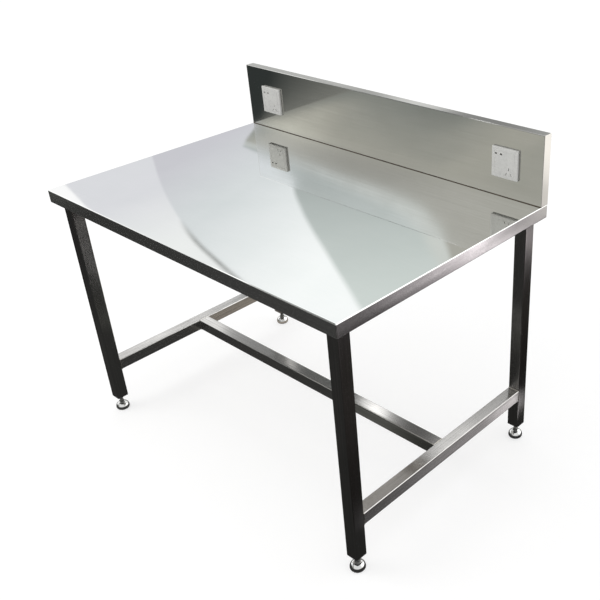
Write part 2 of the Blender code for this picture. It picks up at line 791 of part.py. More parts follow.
def make_cover_plate(side, parent):
    """A shallow tray with a sloping border, two oval holes and three slots."""
    half = PLATE_WIDTH / 2
    back = -CLEARANCE
    front = PLATE_FRONT + PLATE_CROWN
    middle, size = middle_and_size((-half, front, -half), (half, back, half))
    shape = cuboid(size)
    face = [face for face in shape.faces if face.normal.y < -ALONG_AXIS_SHARE]
    bmesh.ops.inset_region(shape, faces=face, thickness=PLATE_BORDER)
    raised = {vertex for panel in face for vertex in panel.verts}
    bmesh.ops.translate(shape, vec=(0, -PLATE_CROWN, 0), verts=list(raised))
    plate = add_mesh("cover_plate_" + side, shape, middle, parent, "white_plastic")
    round_folds(plate, PLATE_EDGE_RADIUS)
    hollow = PLATE_WIDTH - 2 * PLATE_SIDE_WALL
    cut(
        plate,
        centred_block("plate_hollow_" + side, 0, 0, hollow, hollow, PLATE_INSIDE, CUT_OVERRUN, parent),
    )
    start = PLATE_FRONT - CUT_OVERRUN
    end = PLATE_INSIDE + CUT_OVERRUN
    for name, across in two_pin_places():
        cut(plate, round_ended_hole("plate_hole_" + name + side, across, TWO_PIN_UP, start, end, parent))
    cut(plate, *three_slots("plate_slot_" + side, 0, start, end, 0, parent))


def make_shutter(side, parent):
    """A plate that shows its solid face behind the slots until it slides aside by its travel."""
    front = PLATE_INSIDE + CLEARANCE
    back = FLANGE_FRONT - CLEARANCE
    axis_empty = add_empty("shutter_slide_" + side, (SHUTTER_ACROSS, 0, SHUTTER_UP))
    axis_empty.parent = parent
    shutter = centred_block(
        "shutter_" + side, 0, 0, SHUTTER_WIDTH, SHUTTER_HEIGHT, front, back, axis_empty, "core_plastic"
    )
    start = front - CUT_OVERRUN
    end = back + CUT_OVERRUN
    cut(shutter, *three_slots("shutter_slot_" + side, -SHUTTER_TRAVEL, start, end, CLEARANCE, parent))


def make_core(side, parent):
    """The moulded body: flange before the sheet, block through its cut-out, notches, channels and guides."""
    core = centred_block(
        "socket_core_" + side,
        0,
        0,
        CORE_FLANGE_WIDTH,
        CORE_FLANGE_WIDTH,
        FLANGE_FRONT,
        -CLEARANCE,
        parent,
        "core_plastic",
    )
    body = centred_block(
        "core_body_" + side,
        0,
        0,
        CORE_BODY_WIDTH,
        CORE_BODY_WIDTH,
        FLANGE_FRONT / 2,
        CORE_BODY_BACK,
        parent,
    )
    join(core, body)
    guide_gap = SHUTTER_HEIGHT / 2 + CLEARANCE + SHUTTER_GUIDE_HEIGHT / 2
    for name, direction in (("high", 1), ("low", -1)):
        guide = centred_block(
            "shutter_guide_" + name + side,
            SHUTTER_ACROSS,
            SHUTTER_UP + direction * guide_gap,
            SHUTTER_WIDTH,
            SHUTTER_GUIDE_HEIGHT,
            PLATE_INSIDE + CLEARANCE,
            FLANGE_FRONT / 2,
            parent,
        )
        join(core, guide)
    for name, direction in (("left", -1), ("right", 1)):
        notch_width = CORE_BODY_WIDTH / 2 - CORE_NOTCH_START + CUT_OVERRUN
        notch = centred_block(
            "core_notch_" + name + side,
            direction * (CORE_NOTCH_START + notch_width / 2),
            0,
            notch_width,
            CORE_NOTCH_HEIGHT,
            0,
            CORE_BODY_BACK + CUT_OVERRUN,
            parent,
        )
        bore = prism(
            "core_bore_" + name + side,
            bore_radius(FIXING_RADIUS),
            FLANGE_FRONT - CUT_OVERRUN,
            CUT_OVERRUN,
            BORE_SIDES,
            parent,
            axis="y",
            centre=(direction * FIXING_ACROSS, 0),
        )
        cut(core, notch, bore)
    cut(core, *channel_cutters(side, parent))


def strip_runs():
    """The straight runs of each contact strip: start and end, as places across and up the plate."""
    (_, neutral), (_, live) = two_pin_places()
    half = THREE_PIN_SPACING / 2
    return {
        "neutral": [
            ((neutral, TWO_PIN_UP), (TWO_PIN_ACROSS, TWO_PIN_UP)),
            ((TWO_PIN_ACROSS, TWO_PIN_UP), (TWO_PIN_ACROSS, THREE_PIN_UP)),
            ((TWO_PIN_ACROSS, THREE_PIN_UP), (THREE_PIN_ACROSS - half, THREE_PIN_UP)),
        ],
        "live": [
            ((live, TWO_PIN_UP), (LIVE_RUN_ACROSS, TWO_PIN_UP)),
            ((LIVE_RUN_ACROSS, TWO_PIN_UP), (LIVE_RUN_ACROSS, THREE_PIN_UP)),
        ],
        "earth": [
            ((THREE_PIN_ACROSS - EARTH_TAIL, EARTH_UP), (THREE_PIN_ACROSS, EARTH_UP)),
        ],
    }


def jaw_places():
    """Where each strip grips a pin: across, up and whether the two jaws are tilted with the slot."""
    (_, neutral), (_, live) = two_pin_places()
    half = THREE_PIN_SPACING / 2
    return {
        "neutral": [(neutral, TWO_PIN_UP, 0), (THREE_PIN_ACROSS - half, THREE_PIN_UP, THREE_PIN_TILT)],
        "live": [(live, TWO_PIN_UP, 0), (THREE_PIN_ACROSS + half, THREE_PIN_UP, -THREE_PIN_TILT)],
        "earth": [(THREE_PIN_ACROSS, EARTH_UP, 0)],
    }


def run_block(name, run, width, front, back, parent, material=None):
    """A block along one straight run, as wide as the strip and squared off past both ends."""
    (start_x, start_up), (end_x, end_up) = run
    half = width / 2
    return block(
        name,
        (min(start_x, end_x) - half, front, min(start_up, end_up) - half),
        (max(start_x, end_x) + half, back, max(start_up, end_up) + half),
        parent,
        material,
    )


def channel_cutters(side, parent):
    """What the core loses for the contacts: a channel along each run and a pocket round each jaw pair."""
    cutters = []
    front = FLANGE_FRONT - CUT_OVERRUN
    back = STRIP_BACK + CLEARANCE
    width = STRIP_WIDTH + 2 * CLEARANCE
    pocket = 2 * CHANNEL_SIDE + JAW_WIDTH + 2 * STRIP_THICKNESS
    for name, runs in strip_runs().items():
        for index, run in enumerate(runs):
            label = "channel_" + name + str(index) + side
            cutters.append(run_block(label, run, width, front, back, parent))
    for name, jaws in jaw_places().items():
        for index, (across, up, _) in enumerate(jaws):
            label = "pocket_" + name + str(index) + side
            cutters.append(centred_block(label, across, up, pocket, pocket, front, back, parent))
    return cutters


def make_contacts(side, parent):
    """Brass strips at the bottom of the channels, each with a pair of jaws for every pin it meets."""
    jaws_by_name = jaw_places()
    for name, runs in strip_runs().items():
        strip = None
        for index, run in enumerate(runs):
            material = "brass" if strip is None else None
            label = "contact_" + name + "_" + side if strip is None else "strip_" + name + str(index) + side
            piece = run_block(label, run, STRIP_WIDTH, STRIP_FRONT, STRIP_BACK, parent, material)
            strip = piece if strip is None else join(strip, piece)
        for index, (across, up, tilt) in enumerate(jaws_by_name[name]):
            reach = (JAW_GAP + STRIP_THICKNESS) / 2
            for hand in (-1, 1):
                jaw = tilted_slot(
                    "jaw_" + name + str(index) + str(hand) + side,
                    across + hand * reach * math.cos(tilt),
                    up - hand * reach * math.sin(tilt),
                    STRIP_THICKNESS,
                    JAW_WIDTH,
                    JAW_FRONT,
                    STRIP_FRONT + STRIP_THICKNESS / 2,
                    tilt,
                    parent,
                )
                join(strip, jaw)


def make_fixing_screws(side, parent):
    for number, direction in (("1", -1), ("2", 1)):
        centre = (direction * FIXING_ACROSS, 0)
        head_back = FLANGE_FRONT - CLEARANCE
        head_front = PLATE_INSIDE + CLEARANCE
        tip = head_back + FIXING_LENGTH
        screw = prism(
            "socket_screw_" + side + "_" + number,
            FIXING_RADIUS,
            (head_front + head_back) / 2,
            tip,
            BORE_SIDES,
            parent,
            "zinc",
            axis="y",
            centre=centre,
        )
        head = prism(
            "screw_head_" + side + number,
            FIXING_HEAD_RADIUS,
            head_front,
            head_back,
            BORE_SIDES,
            parent,
            axis="y",
            centre=centre,
        )
        join(screw, head)


def make_back_box(side, parent):
    """An open box behind the sheet, with a lug for each fixing screw and a cable entry in its floor."""
    inner = BOX_WIDTH - 2 * BOX_WALL
    box = centred_block(
        "back_box_" + side, 0, 0, BOX_WIDTH, BOX_WIDTH, BOX_FRONT, BOX_BACK, parent, "galvanised"
    )
    hollow = centred_block(
        "box_hollow_" + side, 0, 0, inner, inner, BOX_FRONT - CUT_OVERRUN, BOX_BACK - BOX_WALL, parent
    )
    cut(box, hollow)
    for name, direction in (("left", -1), ("right", 1)):
        lug_width = (BOX_WIDTH - BOX_WALL) / 2 - BOX_LUG_START
        lug = centred_block(
            "box_lug_" + name + side,
            direction * (BOX_LUG_START + lug_width / 2),
            0,
            lug_width,
            BOX_LUG_HEIGHT,
            BOX_FRONT,
            BOX_FRONT + BOX_LUG_DEPTH,
            parent,
        )
        join(box, lug)
        bore = prism(
            "lug_bore_" + name + side,
            bore_radius(FIXING_RADIUS),
            BOX_FRONT - CUT_OVERRUN,
            BOX_FRONT + BOX_LUG_DEPTH + CUT_OVERRUN,
            BORE_SIDES,
            parent,
            axis="y",
            centre=(direction * FIXING_ACROSS, 0),
        )
        cut(box, bore)
    entry = prism(
        "cable_entry_" + side,
        CABLE_ENTRY_RADIUS,
        -BOX_WIDTH / 2 - CUT_OVERRUN,
        BOX_WALL + CUT_OVERRUN - BOX_WIDTH / 2,
        BORE_SIDES,
        parent,
        centre=(0, (BOX_FRONT + BOX_BACK) / 2),
    )
    cut(box, entry)


def make_sockets(shell):
    for side, direction in (("left", -1), ("right", 1)):
        centre = add_empty("socket_centre_" + side, (direction * SOCKET_X, UPSTAND_FACE, SOCKET_Z))
        cutout = centred_block(
            "sheet_cutout_" + side,
            0,
            0,
            CUTOUT_WIDTH,
            CUTOUT_WIDTH,
            -CUT_OVERRUN,
            UPSTAND_THICKNESS + CUT_OVERRUN,
            centre,
        )
        cut(shell, cutout)
        make_back_box(side, centre)
        make_core(side, centre)
        make_contacts(side, centre)
        make_fixing_screws(side, centre)
        make_shutter(side, centre)
        make_cover_plate(side, centre)


def main():
    sheet, board = make_worktop()
    make_rails()
    make_legs()
    make_stretchers()
    make_feet()
    shell = make_upstand()
    make_upstand_screws(sheet, board, shell)
    make_sockets(shell)
    bpy.context.view_layer.update()


main()
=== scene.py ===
"""Looks of the stainless steel work table: finer pieces, materials, light and camera."""

import random
from math import copysign, cos, hypot, radians, sin

import bmesh
import bpy
from mathutils import Matrix, Vector


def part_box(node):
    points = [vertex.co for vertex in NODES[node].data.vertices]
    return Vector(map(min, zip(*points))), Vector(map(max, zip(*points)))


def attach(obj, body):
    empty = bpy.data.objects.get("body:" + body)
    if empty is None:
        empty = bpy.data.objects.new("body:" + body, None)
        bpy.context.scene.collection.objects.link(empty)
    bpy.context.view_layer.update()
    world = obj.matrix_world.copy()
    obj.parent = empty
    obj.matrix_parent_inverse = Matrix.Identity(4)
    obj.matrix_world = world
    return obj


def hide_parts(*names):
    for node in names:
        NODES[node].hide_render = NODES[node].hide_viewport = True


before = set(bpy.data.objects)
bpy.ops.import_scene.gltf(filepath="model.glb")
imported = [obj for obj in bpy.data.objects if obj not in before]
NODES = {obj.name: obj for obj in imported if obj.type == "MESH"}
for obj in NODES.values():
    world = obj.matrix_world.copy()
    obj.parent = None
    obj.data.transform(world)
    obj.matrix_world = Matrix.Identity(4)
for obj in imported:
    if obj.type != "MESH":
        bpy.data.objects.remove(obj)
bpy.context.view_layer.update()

# Whole scene
X, Y, Z = 0, 1, 2
AXES = "XYZ"
FULL_TURN = radians(360)
SHARP_ANGLE = radians(32)
CORNERS = ("front_left", "front_right", "rear_left", "rear_right")
SIDES = (("left", -1), ("right", 1))
OVERRUN = 0.003

# Camera, as measured on the photograph
CAMERA_PLACE = (1.74959, -1.42522, 1.72185)
CAMERA_AZIMUTH = radians(41.72)
CAMERA_DOWN = radians(31.0)
CAMERA_ROLL = radians(-1.55)
FOCAL_PIXELS = 850.23
CENTRE_PIXELS = (418.94, 317.58)
PICTURE_PIXELS = 600
SENSOR_WIDTH = 36.0
WORKTOP_LEVEL = 0.79
STRETCHER_LEVEL = 0.19

# Sheets and tubes, with the axis that each tube runs along
SHEET = 0.0012
FOLD_RADIUS = 0.0025
UPSTAND_FOLD_RADIUS = 0.002
UPSTAND_FOOT = 0.02
UPSTAND_LIP = 0.02
CUTOUT_HALF = 0.036
CAP_ROUND = 0.0005
CAP_RETURN_ROUND = 0.0004
CAP_RETURN_DROP = 0.0203
TUBE_RADIUS = 0.003
RAIL_RADIUS = 0.0022
APRON_RETURN = 0.018
APRON_TILT = 0.3
ROUND_SEGMENTS = 6
EASED_SEGMENTS = 3
RAILS = {"front_rail": X, "rear_rail": X, "left_rail": Y, "right_rail": Y, "cross_bearer": Y}
STRETCHERS = {"side_stretcher_left": Y, "side_stretcher_right": Y, "centre_stretcher": X}

# Welds and the sealing bead; a swell is the least share of the radius, then the wave's and the random part
WELD_RADIUS = 0.0012
WELD_STEP = 0.0016
WELD_SIDES = 8
WELD_INSET = 0.0004
WELD_SWELL = (0.8, 0.25, 0.2)
WELD_WAVE = 1.9
BEAD_RADIUS = 0.0011
BEAD_SWELL = (0.85, 0.3)
BEAD_STEPS = 300
BEAD_PLACE = (-0.0002, 0.0001)
BEAD_SEED = 5

# Sockets, as places from the middle of the plate; depths count from the upstand's face
PLATE_HALF = 0.043
PLATE_FRONT = -0.0085
PLATE_CROWN = 0.001
PLATE_BACK = -0.0003
PLATE_BORDER = 0.01
PLATE_WALL = 0.0022
PLATE_EDGE = 0.0015
GROOVE_DEPTH = 0.0004
GROOVE_WIDTH = 0.0007
LEAD_IN = 0.0005
FLARE = 0.0008
OPENING_SEGMENTS = 5
ROUND_HOLES = ((-0.0288, 0.0237), (-0.0118, 0.0237))
ROUND_HOLE_SIZE = (0.0074, 0.005)
ROUND_HOLE_BEND = 0.48
SLOTS = ((0.0143, -0.014, 0), (0.0066, -0.0285, 30), (0.022, -0.0285, -30))
SLOT_SIZE = (0.0023, 0.0076)
SLOT_ROUND = 0.0004
SHUTTER_TRAVEL = 0.0045
SHUTTER_ROUND = 0.0003
SHUTTER_PLAY = 0.0003
BOX_WALL = 0.002
BOX_ROUND = 0.001
BOX_LUG_START = 0.0255
BOX_LUG_DEPTH = 0.01
BOX_LUG_HALF = 0.005
BOX_LUG_BORE = 0.0022
BOX_LUG_SEGMENTS = 4
KNOCKOUT_RADIUS = 0.01
KNOCKOUT_GROOVE = 0.0016
KNOCKOUT_DEPTH = 0.0008
KNOCKOUT_OFFSET = 0.018
ENTRY_SIDES = 40
ENTRY_RADIUS = 0.008

# Threads
FOOT_RADIUS = 0.006
FOOT_PITCH = 0.00175
FOOT_THREAD_DEPTH = 0.0009
SCREW_COUNT = 4
SCREW_RADIUS = 0.0025
SCREW_PITCH = 0.001
SCREW_THREAD_DEPTH = 0.0004
SCREW_HEAD = 0.0025
THREAD_START = 0.0002
RINGS_PER_PITCH = 5

# Turned parts: profiles and points are (radius, height or length), and levels count from the floor
HEXAGON_SIDES = 48
CUP_SIDES = 72
SOLE_SIDES = 64
SCREW_SIDES = 24
BORE_SIDES = 32
RIVET_PROFILE = ((0.0066, 0.0), (0.0072, 0.0005), (0.0072, 0.0022), (0.005, 0.0022))
PIN_RADIUS = 0.005
COLLAR_LEVEL = 0.0218
COLLAR_HEIGHT = 0.0075
COLLAR_ACROSS = 0.014
COLLAR_ROUND = 0.0069
COLLAR_EDGE = 0.0007
COLLAR_NECK = 0.0052
STEM_POINT = (0.0046, 0.001)
CUP_BORE = 0.0054
CUP_TOP = 0.0085
CUP_WAIST = 0.0217
CUP_WAIST_LEVEL = 0.0065
CUP_WALL = 0.0015
CUP_STEPS = 14
CUP_RIM_PROFILE = ((0.0214, 0.0012), (0.021, 0.0003), (0.0204, 0.0), (0.0197, 0.0002), (0.0195, 0.001))
SOLE_PROFILE = (
    (0.003, 0.0006), (0.0035, 0.0), (0.0075, 0.0), (0.008, 0.0006), (0.009, 0.0006), (0.0095, 0.0),
    (0.0135, 0.0), (0.014, 0.0006), (0.015, 0.0006), (0.0155, 0.0), (0.019, 0.0), (0.0195, 0.0004),
    (0.0195, 0.0009), (0.0192, 0.0011), (0.0195, 0.0013), (0.0195, 0.0021), (0.0192, 0.0022),
    (0.0192, 0.0037), (0.0177, 0.011), (0.0095, 0.011), (0.0095, 0.005),
)
NUT_ACROSS = 0.019
NUT_FACE = 0.0091
NUT_ROUND = 0.0104
NUT_ROUND_RISE = 0.00066
NUT_EDGE = 0.0011
NUT_BORE = 0.0063
NUT_BORE_EDGE = 0.0006
SCREW_PROFILE = (
    (0.0007, 0.0009), (0.0012, 0.0003), (0.0025, 0.0), (0.0037, 0.0006), (0.004, 0.00125),
    (0.004, SCREW_HEAD), (SCREW_RADIUS, SCREW_HEAD),
)
SCREW_POINT = (0.0017, 0.0008)
INSERT_FLANGE = 0.0025
INSERT_GAP = 0.0003
INSERT_EDGE = 0.0005
INSERT_OVERLAP = 0.001
INSERT_ROUND = 0.0008

# Ground steel: name, light and dark colour, roughness and its swing, the lines' axis, pull and scales
TUBE_STEEL = ((0.74, 0.73, 0.72), (0.5, 0.49, 0.485), 0.12, 0.03)
STEELS = {
    "tube_x": ("tube_steel_x", *TUBE_STEEL, X, 0.95),
    "tube_y": ("tube_steel_y", *TUBE_STEEL, Y, 0.95),
    # The legs get a darker copy of the tubes' steel: painted shade on their upright faces.
    "tube_z": ("leg_steel_painted_shade", (0.52, 0.51, 0.5), (0.36, 0.355, 0.35), 0.2, 0.04, Z, 0.9),
    "upstand": ("upstand_steel", (0.76, 0.755, 0.745), (0.68, 0.675, 0.66), 0.06, 0.015, X, 0.4, 2200, 700),
    "apron": ("apron_steel", (0.86, 0.86, 0.86), (0.7, 0.7, 0.7), 0.2, 0.06, X, 0.6),
}

# Mottled metal: name, two colours, roughness and its swing, the cells' scale and the veil's depth
METALS = {
    "weld": ("weld_metal", (0.62, 0.58, 0.52), (0.82, 0.81, 0.78), 0.34, 0.1, 600.0, 0.0003),
    "zinc": ("zinc_plate", (0.55, 0.56, 0.58), (0.74, 0.75, 0.76), 0.32, 0.08, 900.0, 0.00008),
    # A darker copy of the zinc plating for the foot stems and nuts under the legs: painted shade.
    "painted_shade_zinc": ("painted_shade_zinc_plate", (0.16, 0.16, 0.155), (0.27, 0.27, 0.26), 0.3, 0.08, 900.0, 0.00008),
    "chrome": ("chrome_plate", (0.8, 0.8, 0.8), (0.88, 0.88, 0.88), 0.07, 0.03, 120.0, 0.00002),
    "galvanised": ("galvanised_box", (0.48, 0.5, 0.52), (0.72, 0.73, 0.74), 0.42, 0.1, 130.0, 0.0001),
    "brass": ("brass_strip", (0.6, 0.42, 0.16), (0.8, 0.61, 0.28), 0.3, 0.08, 260.0, 0.0001),
}

# Plastic: name, two colours, roughness, the grain's scale and depth, coat and a darker colour for its mirror
# images, which is painted shade in its reflections
PLASTICS = {
    "nylon": ("black_nylon", (0.018, 0.018, 0.018), (0.035, 0.034, 0.033), 0.48, 2600.0, 0.0002),
    "rubber": ("black_rubber", (0.014, 0.014, 0.014), (0.03, 0.029, 0.028), 0.78, 1400.0, 0.0003),
    # The plate's last colour is painted shade, shown only where the steel reflects the plate.
    "plate": (
        "plate_plastic", (0.55, 0.55, 0.535), (0.59, 0.59, 0.57), 0.28, 1800.0, 0.00004,
        0.3, (0.41, 0.41, 0.38),
    ),
    "core": ("core_plastic", (0.74, 0.74, 0.72), (0.8, 0.8, 0.78), 0.45, 1500.0, 0.0001),
    "sealant": ("sealing_bead", (0.05, 0.036, 0.022), (0.09, 0.068, 0.045), 0.42, 700.0, 0.0002),
}

# The nodes that keep their own shape, by how their names start
OWN_SHAPES = {"worktop_board": "board", "socket_core": "core", "contact": "brass", "socket_screw": "zinc"}

# Floor and lamp
FLOOR_HALF = 12.0
FLOOR_LEVEL = -0.0005
FLOOR_GRAY = 0.46
FLOOR_GLOW = 0.58
KEY_PLACE = (-1.6, -1.8, 2.8)
KEY_TARGET = (0, 0, 0.7)
KEY_SIZE = 1.6
KEY_POWER = 18
KEY_COLOR = (1.0, 0.99, 0.97)

# The share of its light given back by the steel that shows each part of the room
FAR_GIVES = 0.7
FRONT_GIVES = (0.72, 0.715, 0.695)
LOW_FRONT_GIVES = 0.684
OVERHEAD_GIVES = 0.62
MIDDLE_FLOOR_GIVES = 0.62
LEFT_FLOOR_GIVES = 0.72
RIGHT_FLOOR_GIVES = 0.78


def new_material(name):
    material = bpy.data.materials.new(name)
    material.use_nodes = True
    tree = material.node_tree
    return material, tree, tree.nodes["Principled BSDF"]


def set_inputs(node, inputs):
    """Sets a node's inputs, or links them where the value is a socket."""
    for key, value in inputs.items():
        if isinstance(value, bpy.types.NodeSocket):
            node.id_data.links.new(value, node.inputs[key])
        else:
            node.inputs[key].default_value = value


def add(tree, kind, inputs=None, **settings):
    """Adds a node with its settings and inputs."""
    made = tree.nodes.new("ShaderNode" + kind)
    for key, value in settings.items():
        setattr(made, key, value)
    set_inputs(made, inputs or {})
    return made


def join(kind, inputs, **settings):
    """Adds a node to the tree that its input sockets are in."""
    tree = next(value.id_data for value in inputs.values() if isinstance(value, bpy.types.NodeSocket))
    return add(tree, kind, inputs, **settings)


def calculate(operation, first, second=0.0):
    return join("Math", {0: first, 1: second}, operation=operation).outputs[0]


def times(first, second):
    return calculate("MULTIPLY", first, second)


def minus(first, second):
    return calculate("SUBTRACT", first, second)


def times_plus(value, factor, plus):
    return join("Math", {0: value, 1: factor, 2: plus}, operation="MULTIPLY_ADD").outputs[0]


def part_of_each(first, share, second):
    """A share of the first value and the rest of the second."""
    return calculate("ADD", times(first, share), times(second, 1 - share))


def spread(value, low, high, out_low=0.0, out_high=1.0, smooth=False):
    """Maps a value's range onto another and clamps it there."""
    kind = "SMOOTHSTEP" if smooth else "LINEAR"
    inputs = {"Value": value, "From Min": low, "From Max": high, "To Min": out_low, "To Max": out_high}
    return join("MapRange", inputs, interpolation_type=kind).outputs["Result"]


def mixed(share, first, second, blend="MIX"):
    """A colour between two: each is a colour or a socket."""
    ends = [value if isinstance(value, bpy.types.NodeSocket) else (*value, 1.0) for value in (first, second)]
    inputs = {"Factor": share, 6: ends[0], 7: ends[1]}
    return join("Mix", inputs, data_type="RGBA", blend_type=blend).outputs[2]


def faded(value, low, high, first, second):
    """From one colour to another over a value's range."""
    return mixed(spread(value, low, high), first, second)


def noise(tree, scale, detail=3.0, roughness=0.5, seed=0.0):
    """Noise in the object's own metres, with its own scale along each axis."""
    place = add(tree, "TexCoord").outputs["Object"]
    scales = scale if isinstance(scale, tuple) else (scale, scale, scale)
    moved = add(tree, "Mapping", {"Vector": place, "Scale": scales, "Location": (seed, seed, seed)})
    inputs = {"Vector": moved.outputs[0], "Scale": 1.0, "Detail": detail, "Roughness": roughness}
    return add(tree, "TexNoise", inputs).outputs[0]


def bumps(height, distance, strength):
    return join("Bump", {"Height": height, "Distance": distance, "Strength": strength}).outputs[0]


def along_axis(axis, along, across):
    return tuple(along if index == axis else across for index in range(3))


def drawn_along(tree, axis):
    return add(tree, "Tangent", direction_type="RADIAL", axis=AXES[axis]).outputs[0]


def ground_steel(name, light, dark, roughness, swing, axis, pull, fine=1500, coarse=300):
    """Steel with grinding lines along one axis, slow smears and highlights drawn out across the lines."""
    material, tree, shader = new_material(name)
    lines = noise(tree, along_axis(axis, 7.0, fine), 4.0)
    streaks = noise(tree, along_axis(axis, 3.0, coarse), 3.0, seed=7.3)
    smears = noise(tree, 9.0, 4.0, 0.55, seed=2.1)
    both = part_of_each(lines, 0.5, streaks)
    shade = part_of_each(both, 0.75, smears)
    set_inputs(shader, {
        "Base Color": faded(shade, 0.38, 0.62, dark, light),
        "Roughness": spread(shade, 0.35, 0.65, roughness + swing, roughness - swing),
        "Metallic": 1.0,
        "Anisotropic": pull,
        "Tangent": drawn_along(tree, axis),
        "Normal": bumps(both, 0.00001, 0.5),
    })
    return material


def polished_steel():
    """The worktop: nearly a mirror, with faint rolling lines, small smears and a slow waviness."""
    material, tree, shader = new_material("polished_sheet")
    lines = noise(tree, (5.0, 900.0, 900.0), 3.0)
    smears = noise(tree, 7.0, 5.0, 0.6, seed=4.4)
    scuffs = noise(tree, (40.0, 190.0, 60.0), 4.0, 0.6, seed=9.1)
    wave = noise(tree, (2.2, 3.1, 3.1), 1.0, 0.3, seed=1.7)
    shade = part_of_each(lines, 0.4, smears)
    worn = part_of_each(smears, 0.5, scuffs)
    set_inputs(shader, {
        "Base Color": faded(shade, 0.35, 0.65, (0.93, 0.94, 0.935), (0.97, 0.97, 0.97)),
        "Roughness": spread(worn, 0.36, 0.68, 0.015, 0.04),
        "Metallic": 1.0,
        "Anisotropic": 0.3,
        "Tangent": drawn_along(tree, X),
        "Normal": bumps(wave, 0.0004, 0.5),
    })
    return material


def plain_plastic(name, color, tint, roughness, grain, depth, coat=0.0, painted_reflection_shade=None):
    """Moulded plastic: two close tones, uneven gloss and a fine grain; a darker colour shown only in
    reflections is painted shade.
    """
    material, tree, shader = new_material(name)
    color = mixed(spread(noise(tree, 55.0, 4.0), 0.35, 0.65), color, tint)
    # In the gloss of the steel the colour is swapped for a darker one: painted shade in the plastic's
    # reflections.
    if painted_reflection_shade:
        color = mixed(add(tree, "LightPath").outputs["Is Glossy Ray"], color, painted_reflection_shade)
    uneven = noise(tree, 140.0, 3.0, seed=3.3)
    set_inputs(shader, {
        "Base Color": color,
        "Roughness": spread(uneven, 0.3, 0.7, roughness - 0.04, roughness + 0.06),
        "Coat Weight": coat,
        "Coat Roughness": 0.12,
        "Normal": bumps(noise(tree, grain, 2.0, seed=5.9), depth, 0.5),
    })
    return material


def mottled_metal(name, color, tint, roughness, swing, cells, depth):
    """Plated metal with a crystal pattern: flat cells of slightly different tone and gloss."""
    material, tree, shader = new_material(name)
    place = add(tree, "TexCoord").outputs["Object"]
    crystals = add(tree, "TexVoronoi", {"Vector": place, "Scale": cells, "Randomness": 1.0})
    crystal = add(tree, "SeparateColor", {"Color": crystals.outputs["Color"]}).outputs[0]
    veil = noise(tree, 60.0, 4.0)
    shade = part_of_each(crystal, 0.6, veil)
    set_inputs(shader, {
        "Base Color": faded(shade, 0.15, 0.85, color, tint),
        "Roughness": spread(shade, 0.1, 0.9, roughness + swing, roughness - swing),
        "Metallic": 1.0,
        "Normal": bumps(veil, depth, 0.4),
    })
    return material


def particle_board():
    """Pressed wood chips of several gray browns, with a rough face."""
    material, tree, shader = new_material("particle_board")
    place = add(tree, "TexCoord").outputs["Object"]
    bent = add(tree, "Mapping", {"Vector": place, "Scale": (1.0, 1.7, 1.0)})
    chips = add(tree, "TexVoronoi", {"Vector": bent.outputs[0], "Scale": 210.0, "Randomness": 1.0})
    chip = add(tree, "SeparateColor", {"Color": chips.outputs["Color"]}).outputs[1]
    dust = noise(tree, 420.0, 4.0)
    shade = part_of_each(chip, 0.65, dust)
    set_inputs(shader, {
        "Base Color": mixed(shade, (0.32, 0.31, 0.29), (0.6, 0.58, 0.55)),
        "Roughness": spread(dust, 0.3, 0.7, 0.62, 0.88),
        "Normal": bumps(shade, 0.0004, 0.7),
    })
    return material


def make_materials():
    made = {"worktop": polished_steel(), "board": particle_board()}
    for make, rows in ((ground_steel, STEELS), (mottled_metal, METALS), (plain_plastic, PLASTICS)):
        made.update({name: make(*values) for name, values in rows.items()})
    return made


MATERIALS = make_materials()


def link_object(name, data):
    made = bpy.data.objects.new(name, data)
    bpy.context.scene.collection.objects.link(made)
    return made


def mesh_object(name, shape):
    mesh = bpy.data.meshes.new(name)
    shape.to_mesh(mesh)
    shape.free()
    return link_object(name, mesh)


def put_mesh(name, shape, material, slot, *nodes, body="frame"):
    """Turns the bmesh into a piece that rides on a body and stands for the nodes."""
    piece = mesh_object(name, shape)
    piece.data.materials.append(MATERIALS[material])
    piece.data.shade_smooth()
    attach(piece, body)
    if nodes:
        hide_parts(*nodes)
    return piece


def apply_cuts(piece, shapes, operation="DIFFERENCE"):
    """Cuts the shapes from the piece, or joins them to it, for good."""
    cutters = [mesh_object("cutter", shape) for shape in shapes]
    for cutter in cutters:
        cut = piece.modifiers.new("cut", "BOOLEAN")
        cut.operation = operation
        cut.solver = "EXACT"
        cut.object = cutter
    bake(piece)
    for cutter in cutters:
        bpy.data.objects.remove(cutter, do_unlink=True)


def bake(piece):
    """Makes the modifiers' result the piece's own mesh."""
    bpy.context.view_layer.update()
    graph = bpy.context.evaluated_depsgraph_get()
    mesh = bpy.data.meshes.new_from_object(piece.evaluated_get(graph))
    piece.modifiers.clear()
    old = piece.data
    piece.data = mesh
    bpy.data.meshes.remove(old)


def keep_flats(piece):
    """Smooth shading whose normals follow the large faces, so that flats stay flat beside round edges."""
    piece.data.shade_smooth()
    piece.data.set_sharp_from_angle(angle=SHARP_ANGLE)
    weighted = piece.modifiers.new("normals", "WEIGHTED_NORMAL")
    weighted.keep_sharp = True
    weighted.weight = 100
    bake(piece)


def cuboid(low, high, open_along=None, round_along=None, radius=0.0, segments=ROUND_SEGMENTS):
    """A box between two corners. Edges along one axis, or all, can be rounded, and two ends left out."""
    shape = bmesh.new()
    bmesh.ops.create_cube(shape, size=1.0)
    size = [b - a for a, b in zip(low, high)]
    middle = [(a + b) / 2 for a, b in zip(low, high)]
    bmesh.ops.scale(shape, vec=size, verts=shape.verts)
    move_shape(shape, middle)
    if open_along is not None:
        ends = [face for face in shape.faces if abs(face.normal[open_along]) > 0.5]
        bmesh.ops.delete(shape, geom=ends, context="FACES_ONLY")
    if round_along is not None:
        edges = [edge for edge in shape.edges if round_along == "all" or runs_along(edge, round_along)]
        bmesh.ops.bevel(shape, geom=edges, offset=radius, segments=segments, profile=0.5, affect="EDGES")
    return shape


